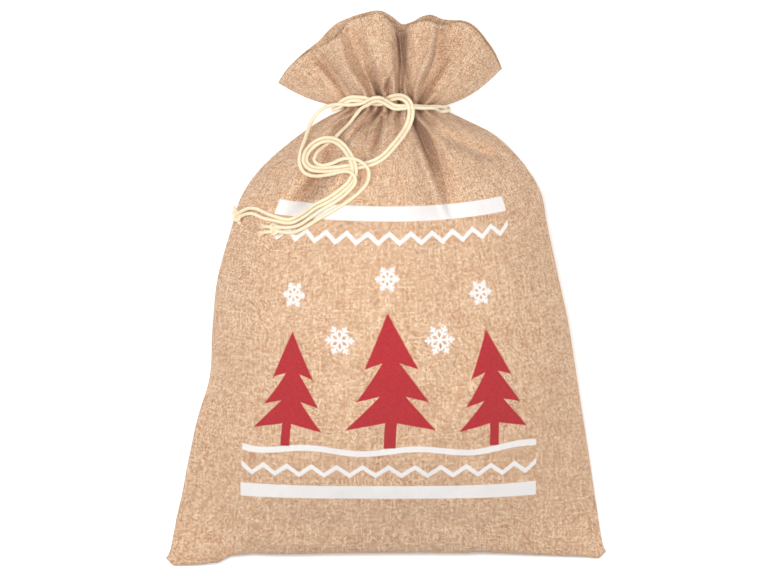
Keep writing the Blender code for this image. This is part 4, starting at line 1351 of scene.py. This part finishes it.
@dataclass
class Ground:
    """What the cords lie on: the panels' upper surfaces."""

    tree: BVHTree

    @classmethod
    def under(cls, panels: list[Panel]) -> "Ground":
        """The middle surfaces of panels, raised by half their thickness.

        Args:
            panels: the panels.

        Returns:
            The ground that they make.
        """
        corners, faces = [], []
        for panel in panels:
            points = panel.cloth(*panel.grid())
            points[..., 2] += panel.thickness / 2
            faces += (grid_faces(*points.shape[:2]) + len(corners)).tolist()
            corners += points.reshape(-1, 3).tolist()
        return cls(BVHTree.FromPolygons(corners, faces))

    def holds(self, x: float, y: float, radius: float, half_height: float) -> float:
        """Lowest height at which the middle of a round thing clears the cloth.

        Args:
            x: its place to the right.
            y: its place up the picture.
            radius: its half width.
            half_height: how far its middle is above its foot.

        Returns:
            The height of its middle.
        """
        lowest = half_height
        for ring in (0.0, 0.35, 0.65, 0.9):
            rise = half_height * math.sqrt(1 - ring**2)
            for turn in range(12 if ring else 1):
                dx = radius * ring * math.cos(math.tau * turn / 12)
                dy = radius * ring * math.sin(math.tau * turn / 12)
                hit = self.tree.ray_cast((x + dx, y + dy, 1.0), (0, 0, -1))[0]
                lowest = max(lowest, (hit.z if hit else 0.0) + rise)
        return lowest

    def line(self, places: Array) -> Array:
        """How high a cord's middle lies at places in plan, one row each."""
        radius = CORD_DIAMETER / 2
        return np.array([self.holds(x, y, radius, radius) for x, y in places])


@dataclass(frozen=True)
class Cord:
    """Braided cotton cord: its thickness, and the relief of its cover."""

    radius: float = CORD_DIAMETER / 2
    sides: int = 24
    ring: float = 0.00055
    plaits: int = 3
    plait: float = 0.0026
    relief: float = 0.065

    def tube(
        self, name: str, line: Array, finish: Material, closed: bool = False,
        taper: Array | float = 1.0,
    ) -> Object:
        """Carries the cord's section along a line.

        With t the turn round the cord and s the way along it, its radius is
        R (1 + a sin(n t + k s) sin(n t - k s)), the relief of two sets of crossing plaits.

        Args:
            name: the piece's name.
            line: the cord's middle line.
            finish: its material.
            closed: whether the line is a loop.
            taper: its thickness at each point, as a share of the whole.

        Returns:
            The cord with closed ends.
        """
        side, up = carried(line, closed)
        run = run_along(line)
        ring = self.plaits * np.linspace(0, math.tau, self.sides, endpoint=False)[None]
        wave = (math.pi * run / self.plait)[:, None]
        relief = 1 + self.relief * np.sin(ring + wave) * np.sin(ring - wave)
        uneven = 1 + 0.02 * np.sin(run * 410.0) + 0.015 * np.sin(run * 973.0 + 1.0)
        radius = self.radius * relief * (uneven * taper)[:, None]
        return tubes(name, line[None], side, up, radius, self.sides, run, finish, closed)


class Strand:
    """One strand of a drawstring: its exit points, and the stretch that lies down."""

    step = 0.0025
    bend_radius = 0.016
    self_apart = 0.030
    smoothing = (0.1, 0.25, 0.3, 0.25, 0.1)

    def __init__(
        self,
        name: str,
        exit_points: tuple[tuple[float, float, float], ...],
        route: Route,
        offset: float,
        knot: "Knot",
        ground: Ground,
    ) -> None:
        """Smooths the route in plan and finds how high the cloth holds each point.

        Args:
            name: the CAD node that the strand stands for.
            exit_points: places from inside the neck to where it lies down.
            route: the way it lies.
            offset: how far it runs to the left of the route.
            knot: the knot that it goes into.
            ground: what it lies on.
        """
        self.name, self.exit, self.knot = name, exit_points, knot
        places, self.layer, parting = route.smooth(self.step)
        heading = unit(np.gradient(places, axis=0))
        left = np.stack([-heading[:, 1], heading[:, 0]], axis=-1)
        places = places + left * (offset * parting)[:, None]
        self.on_cloth = ground.line(places)
        self.line = np.column_stack([places, self.on_cloth])
        self.at = run_along(places)
        away = unit(places[-1] - knot.place[:2])
        self.end = knot.place + np.array([away[1], -away[0], 0.0]) * offset

    def obstacle(self) -> tuple[Array, Array, Array]:
        """The strand with its exit, as other strands meet it.

        Returns:
            Its points, their layers, and how far along the strand they are.
        """
        head = smooth_line(np.concatenate([self.exit, self.line[:1]]), self.step)
        layers = np.concatenate([np.full(len(head), self.layer[0]), self.layer])
        at = np.concatenate([np.zeros(len(head)), self.at])
        return np.concatenate([head, self.line]), layers, at

    def settle(self, strands: list["Strand"]) -> None:
        """Lays the strand over the cloth and over the strands, itself too, that lie under it.

        Where another strand passes g away in plan, this one lies sqrt(d^2 - g^2) over it.
        The heights then take a line over those whose humps and hollows are both no
        tighter than the bend radius: they fall off as (distance)^2 / (4 radius), and what
        a curve of (distance)^2 / (2 radius) can't reach into from above is filled.

        Args:
            strands: all the strands, the earlier ones lying lower where they share a layer.
        """
        needed = self.on_cloth
        mine = self.layer[:, None]
        for other in strands:
            line, layer, at = other.obstacle()
            gap = np.linalg.norm(self.line[:, None, :2] - line[None, :, :2], axis=2)
            if other is self:
                under = (layer < mine) & (np.abs(self.at[:, None] - at) > self.self_apart)
            else:
                ties = strands.index(other) < strands.index(self)
                under = (layer < mine) | (ties & (layer == mine))
            rise = line[:, 2] + np.sqrt(np.clip(CORD_DIAMETER**2 - gap**2, 0, None))
            met = np.where(under & (gap < CORD_DIAMETER), rise, 0.0)
            needed = np.maximum(needed, met.max(axis=1))
        fall = (self.at[:, None] - self.at) ** 2 / (4 * self.bend_radius)
        height = ((needed - fall).max(axis=1) + 2 * fall).min(axis=1)
        for _ in range(4):
            padded = np.pad(height, len(self.smoothing) // 2, mode="edge")
            height = np.maximum(np.convolve(padded, self.smoothing, mode="valid"), needed)
        self.line[:, 2] = height

    def points(self, ring: float) -> Array:
        """The whole strand, from inside the neck to inside its knot.

        Args:
            ring: the distance between its points.

        Returns:
            Its middle line.
        """
        whole = smooth_line(np.concatenate([self.exit, self.line[1:-3:2], [self.end]]), ring)
        inside = np.linalg.norm(whole - self.knot.place, axis=1) < self.knot.reach
        return whole[: int(np.argmax(inside)) + 1]


@dataclass
class Knot:
    """An overhand knot pulled tight: a trefoil of the cord, and the ends past it."""

    name: str
    spot: tuple[float, float]
    heading: float
    ends: tuple[tuple[float, float, float], ...]  # heading, offset and length of each
    fray: float = 0.0
    half_length: float = 0.0066
    half_height: float = 0.0046
    clearance: float = 0.0004
    loop: float = 0.00185
    narrow: float = 0.94
    rise: float = 0.00265
    cord_radius: float = 0.00215
    reach: float = 0.0040
    end_from: float = 0.0030
    end_falls: float = 0.0045
    end_curls: float = 0.0056
    curl: float = 9.0
    slope: float = 0.55
    yarns_per_end: int = 26
    yarn_points: int = 9
    yarn_radius: float = 0.0003

    def __post_init__(self) -> None:
        """The knot isn't laid down until `lay`."""
        self.place = np.array([*self.spot, self.half_height])

    def lay(self, ground: Ground) -> "Knot":
        """Lays it on the cloth.

        Args:
            ground: what it lies on.

        Returns:
            The knot.
        """
        rest = ground.holds(*self.spot, self.half_length, self.half_height)
        self.place = np.array([*self.spot, rest + self.clearance])
        return self

    def build(self, cord: Cord, finish: Material) -> Object:
        """The trefoil: a (sin t + 2 sin 2t), a (cos t - 2 cos 2t), -b sin 3t, turned.

        Args:
            cord: the cord that it is tied in.
            finish: its material.

        Returns:
            The piece.
        """
        t = np.linspace(0, math.tau, 150, endpoint=False)
        long = self.loop * (np.sin(t) + 2 * np.sin(2 * t))
        wide = self.loop * (np.cos(t) - 2 * np.cos(2 * t)) * self.narrow
        local = np.stack([long, wide, -self.rise * np.sin(3 * t)], axis=-1)
        cos, sin = math.cos(self.heading), math.sin(self.heading)
        turn = np.array([[cos, -sin, 0.0], [sin, cos, 0.0], [0.0, 0.0, 1.0]])
        tight = replace(cord, radius=self.cord_radius)
        return tight.tube(self.name + "_tied", local @ turn.T + self.place, finish, closed=True)

    def end_line(
        self, ground: Ground, heading: float, offset: float, length: float, step: float
    ) -> Array:
        """An end's middle line: out of the knot, and down to lie on the cloth.

        Args:
            ground: what it lies on.
            heading: the way it points.
            offset: how far it starts to the left of the knot's middle.
            length: its length past the knot.
            step: the distance between its points.

        Returns:
            The line's points.
        """
        away = np.array([math.cos(heading), math.sin(heading), 0.0])
        aside = np.array([-away[1], away[0], 0.0])
        out = np.linspace(self.end_from, self.end_curls + length, 12)
        curl = np.clip(out - self.end_curls, 0, None) ** 2 * self.curl * (1 if offset >= 0 else -1)
        points = self.place + aside * offset + np.outer(out, away) + np.outer(curl, aside)
        falling = self.place[2] - np.clip(out - self.end_falls, 0, None) * self.slope
        points[:, 2] = np.maximum(ground.line(points[:, :2]), falling)
        return smooth_line(points, step)

    def build_ends(
        self, cord: Cord, finish: Material, loose: Material, ground: Ground
    ) -> list[Object]:
        """The cord's ends past the knot, each with its loose yarns if it frays.

        Args:
            cord: the cord.
            finish: its material.
            loose: the material of loose yarns.
            ground: what the ends lie on.

        Returns:
            The pieces.
        """
        made = []
        for letter, (heading, offset, length) in zip("ab", self.ends):
            line = self.end_line(ground, heading, offset, length, cord.ring)
            name = f"{self.name.replace('knot', 'end')}_{letter}"
            taper = 1 - 0.25 * smoothstep((np.linspace(0, 1, len(line)) - 0.85) / 0.15)
            kept = int(len(line) * (1 - self.fray))
            made.append(cord.tube(name + "_cord", line[:kept], finish, taper=taper[:kept]))
            if self.fray:
                made.append(self.yarns(name + "_yarns", line[kept - 3 :], loose, ground))
        return made

    def yarns(
        self, name: str, line: Array, finish: Material, ground: Ground
    ) -> Object:
        """Loose yarns that spread from a cord's end as a brush.

        A yarn follows the end's line and leaves it by its own share of the radius, which
        grows with the square of the way, and waves a little.

        Args:
            name: the piece's name.
            line: the middle line that they follow.
            finish: their material.
            ground: what they lie on.

        Returns:
            All the yarns as one piece.
        """
        picks = np.linspace(0, len(line) - 1, self.yarn_points).astype(int)
        side, up = (part[picks] for part in carried(line))
        share = np.linspace(0, 1, self.yarn_points)[None, :]
        number = np.arange(self.yarns_per_end)[:, None]
        start = CORD_DIAMETER / 2 * 0.80 * np.sqrt((number + 0.5) / self.yarns_per_end)
        spread = start * (1 + 1.5 * share**2) + 0.0003 * np.sin(share * 7 + number) * share
        shorter = 0.25 * np.sin(number * 12.9898) ** 2 - 0.25
        angle = (number * GOLDEN_ANGLE + share * 0.8)[..., None]
        along = line[picks] + (shorter * share)[..., None] * (line[-1] - line[0])
        middle = along + spread[..., None] * (np.cos(angle) * side + np.sin(angle) * up * 0.75)
        floor = ground.holds(*line[-1, :2], 0.001, self.yarn_radius)
        middle[..., 2] = np.maximum(middle[..., 2], np.minimum(floor, line[0, 2]))
        thin = self.yarn_radius * (1 - 0.5 * share[0, :, None])
        return tubes(name, middle, side, up, thin, 5, share[0] * 0.006, finish)


# ---------------------------------------------------------------- the studio
@dataclass
class Studio:
    """A pale floor, soft lights, and a camera straight over the sack."""

    span: float = 772 * 0.0011338  # how wide the picture is at the height of the seams
    level: float = 0.045
    distance: float = 10.0
    centre: tuple[float, float] = (0.00057, -0.00057)
    sensor: float = 36.0
    floor_size: float = 5.0
    floor_colour: Colour = (0.94, 0.94, 0.94, 1.0)
    floor_glow: float = 0.28
    sky: float = 0.12
    lights: tuple[tuple[str, tuple[float, float, float], float, float], ...] = (
        ("left light", (-2.0, 0.15, 2.0), 0.9, 33.0),
        ("right light", (2.0, 0.15, 2.0), 0.9, 28.5),
        ("light above", (-0.1, 0.16, 2.6), 0.5, 50.0),
    )

    def hang(
        self, name: str, data: bpy.types.ID, place: tuple[float, float, float]
    ) -> Object:
        """Puts a camera or a light, which both face down, at a place.

        Args:
            name: its name.
            data: its camera or light data.
            place: where it goes.

        Returns:
            The object.
        """
        hung = bpy.data.objects.new(name, data)
        hung.location = place
        bpy.context.scene.collection.objects.link(hung)
        return hung

    def build(self) -> None:
        """Makes the floor, the square soft lights, the sky and the long-lens camera."""
        corners = np.array([(-1, -1, 0), (1, -1, 0), (1, 1, 0), (-1, 1, 0)]) * self.floor_size / 2
        pale = Board("pale floor").finish(
            Base_Color=self.floor_colour, Roughness=0.9,
            Emission_Color=WHITE, Emission_Strength=self.floor_glow,
        )
        mesh_object("floor", corners, np.array([[0, 1, 2, 3]]), pale)
        for name, place, size, watts in self.lights:
            lamp = bpy.data.lights.new(name, "AREA")
            lamp.shape, lamp.size, lamp.energy = "SQUARE", size, watts
            x, y, z = -unit(np.array(place))
            self.hang(name, lamp, place).rotation_euler = (math.acos(-z), 0.0, math.atan2(-x, y))
        scene = bpy.context.scene
        scene.world = bpy.data.worlds.new("sky")
        scene.world.use_nodes = True
        glow = scene.world.node_tree.nodes["Background"].inputs
        glow["Color"].default_value, glow["Strength"].default_value = WHITE, self.sky
        scene.view_settings.view_transform = "Standard"
        lens = bpy.data.cameras.new("camera")
        lens.sensor_width, lens.clip_end = self.sensor, 50.0
        lens.lens = self.sensor * self.distance / self.span
        scene.camera = self.hang("camera", lens, (*self.centre, self.level + self.distance))


# ---------------------------------------------------------------- the sack
def place_piece(piece: Object, slot: str, *nodes: str) -> Object:
    """Gives a piece its body, and hides the CAD nodes that it stands for.

    Args:
        piece: the piece.
        slot: not used.
        nodes: the nodes.

    Returns:
        The piece.
    """
    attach(piece, "root")
    if nodes:
        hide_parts(*nodes)
    log.info("%s: %d corners", piece.name, len(piece.data.vertices))
    return piece


@dataclass
class Sack:
    """The whole sack: its panels, drawstrings and knots."""

    cloth: BurlapFinish = BurlapFinish()
    design: WinterPrint = WinterPrint()
    cotton: CottonFinish = CottonFinish()
    thread: ThreadFinish = ThreadFinish()
    # the loose yarn's second colour is its painted shade in the twist's grooves
    yarn: ThreadFinish = ThreadFinish((0.95, 0.84, 0.64, 1.0), (0.80, 0.67, 0.46, 1.0), 0.0012)
    cord: Cord = Cord()

    def panels(self) -> list[Panel]:
        """Returns:
            The panels.
        """
        front = Panel(Side.FRONT, FRONT_PLEATS, FRONT_CREASES, FRONT_FOLDS)
        back = Panel(Side.BACK, BACK_PLEATS, BACK_CREASES)
        sewing = self.thread.material("sewing thread")
        for panel, design in ((front, self.design), (back, None)):
            finish = self.cloth.material("burlap " + panel.side.value, design)
            piece = place_piece(panel.build(finish), "burlap", panel.name)
            stitches = place_piece(panel.stitches(sewing), "burlap")
        return [front, back]

    def knots(self, ground: Ground) -> tuple[Knot, Knot]:
        """The two knots, laid on the cloth.

        Args:
            ground: what they lie on.

        Returns:
            The left drawstring's and the right one's.
        """
        turn = math.radians
        left_ends = ((turn(112.0), 0.0, 0.0062), (turn(283.0), 0.0, 0.0045))
        right_ends = ((turn(184.0), 0.0024, 0.0150), (turn(177.0), -0.0024, 0.0120))
        left = Knot("knot_left", (-0.1672, 0.0830), turn(106.0), left_ends)
        right = Knot("knot_right", (-0.1247, 0.0672), turn(100.0), right_ends, fray=0.5)
        return left.lay(ground), right.lay(ground)

    def drawstrings(self, ground: Ground) -> None:
        """Builds the strands, their knots and their ends.

        Args:
            ground: what they lie on.
        """
        cotton = self.cotton.material("braided cotton")
        loose = self.yarn.material("loose cotton yarn")
        left, right = self.knots(ground)
        half = PAIR_SPACING / 2
        strands = [
            Strand("strand_left_a", LEFT_EXITS[0], LEFT_ROUTE, half, left, ground),
            Strand("strand_left_b", LEFT_EXITS[1], LEFT_ROUTE, -half, left, ground),
            Strand("strand_right_a", RIGHT_EXITS[0], RIGHT_OUTER_ROUTE, -half, right, ground),
            Strand("strand_right_b", RIGHT_EXITS[1], RIGHT_INNER_ROUTE, half, right, ground),
        ]
        for _ in range(8):
            for strand in strands:
                strand.settle(strands)
        for knot in (left, right):
            tied = place_piece(knot.build(self.cord, cotton), "cord", knot.name)
            ends = knot.build_ends(self.cord, cotton, loose, ground)
            for piece in ends:
                node = piece.name.removesuffix("_cord")
                place_piece(piece, "cord", *([node] if node != piece.name else []))
        for strand in strands:
            line = strand.points(self.cord.ring)
            piece = self.cord.tube(strand.name.replace("strand", "drawstring"), line, cotton)
            place_piece(piece, "cord", strand.name)


def main() -> None:
    """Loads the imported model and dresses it, piece by piece."""
    logging.basicConfig(level=logging.INFO, format="%(name)s: %(message)s")
    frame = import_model()
    log.info("dressing a part of %d nodes", len(frame["nodes"]))
    Studio().build()
    sack = Sack()
    panels = sack.panels()
    sack.drawstrings(Ground.under(panels))


if __name__ == "__main__":
    main()
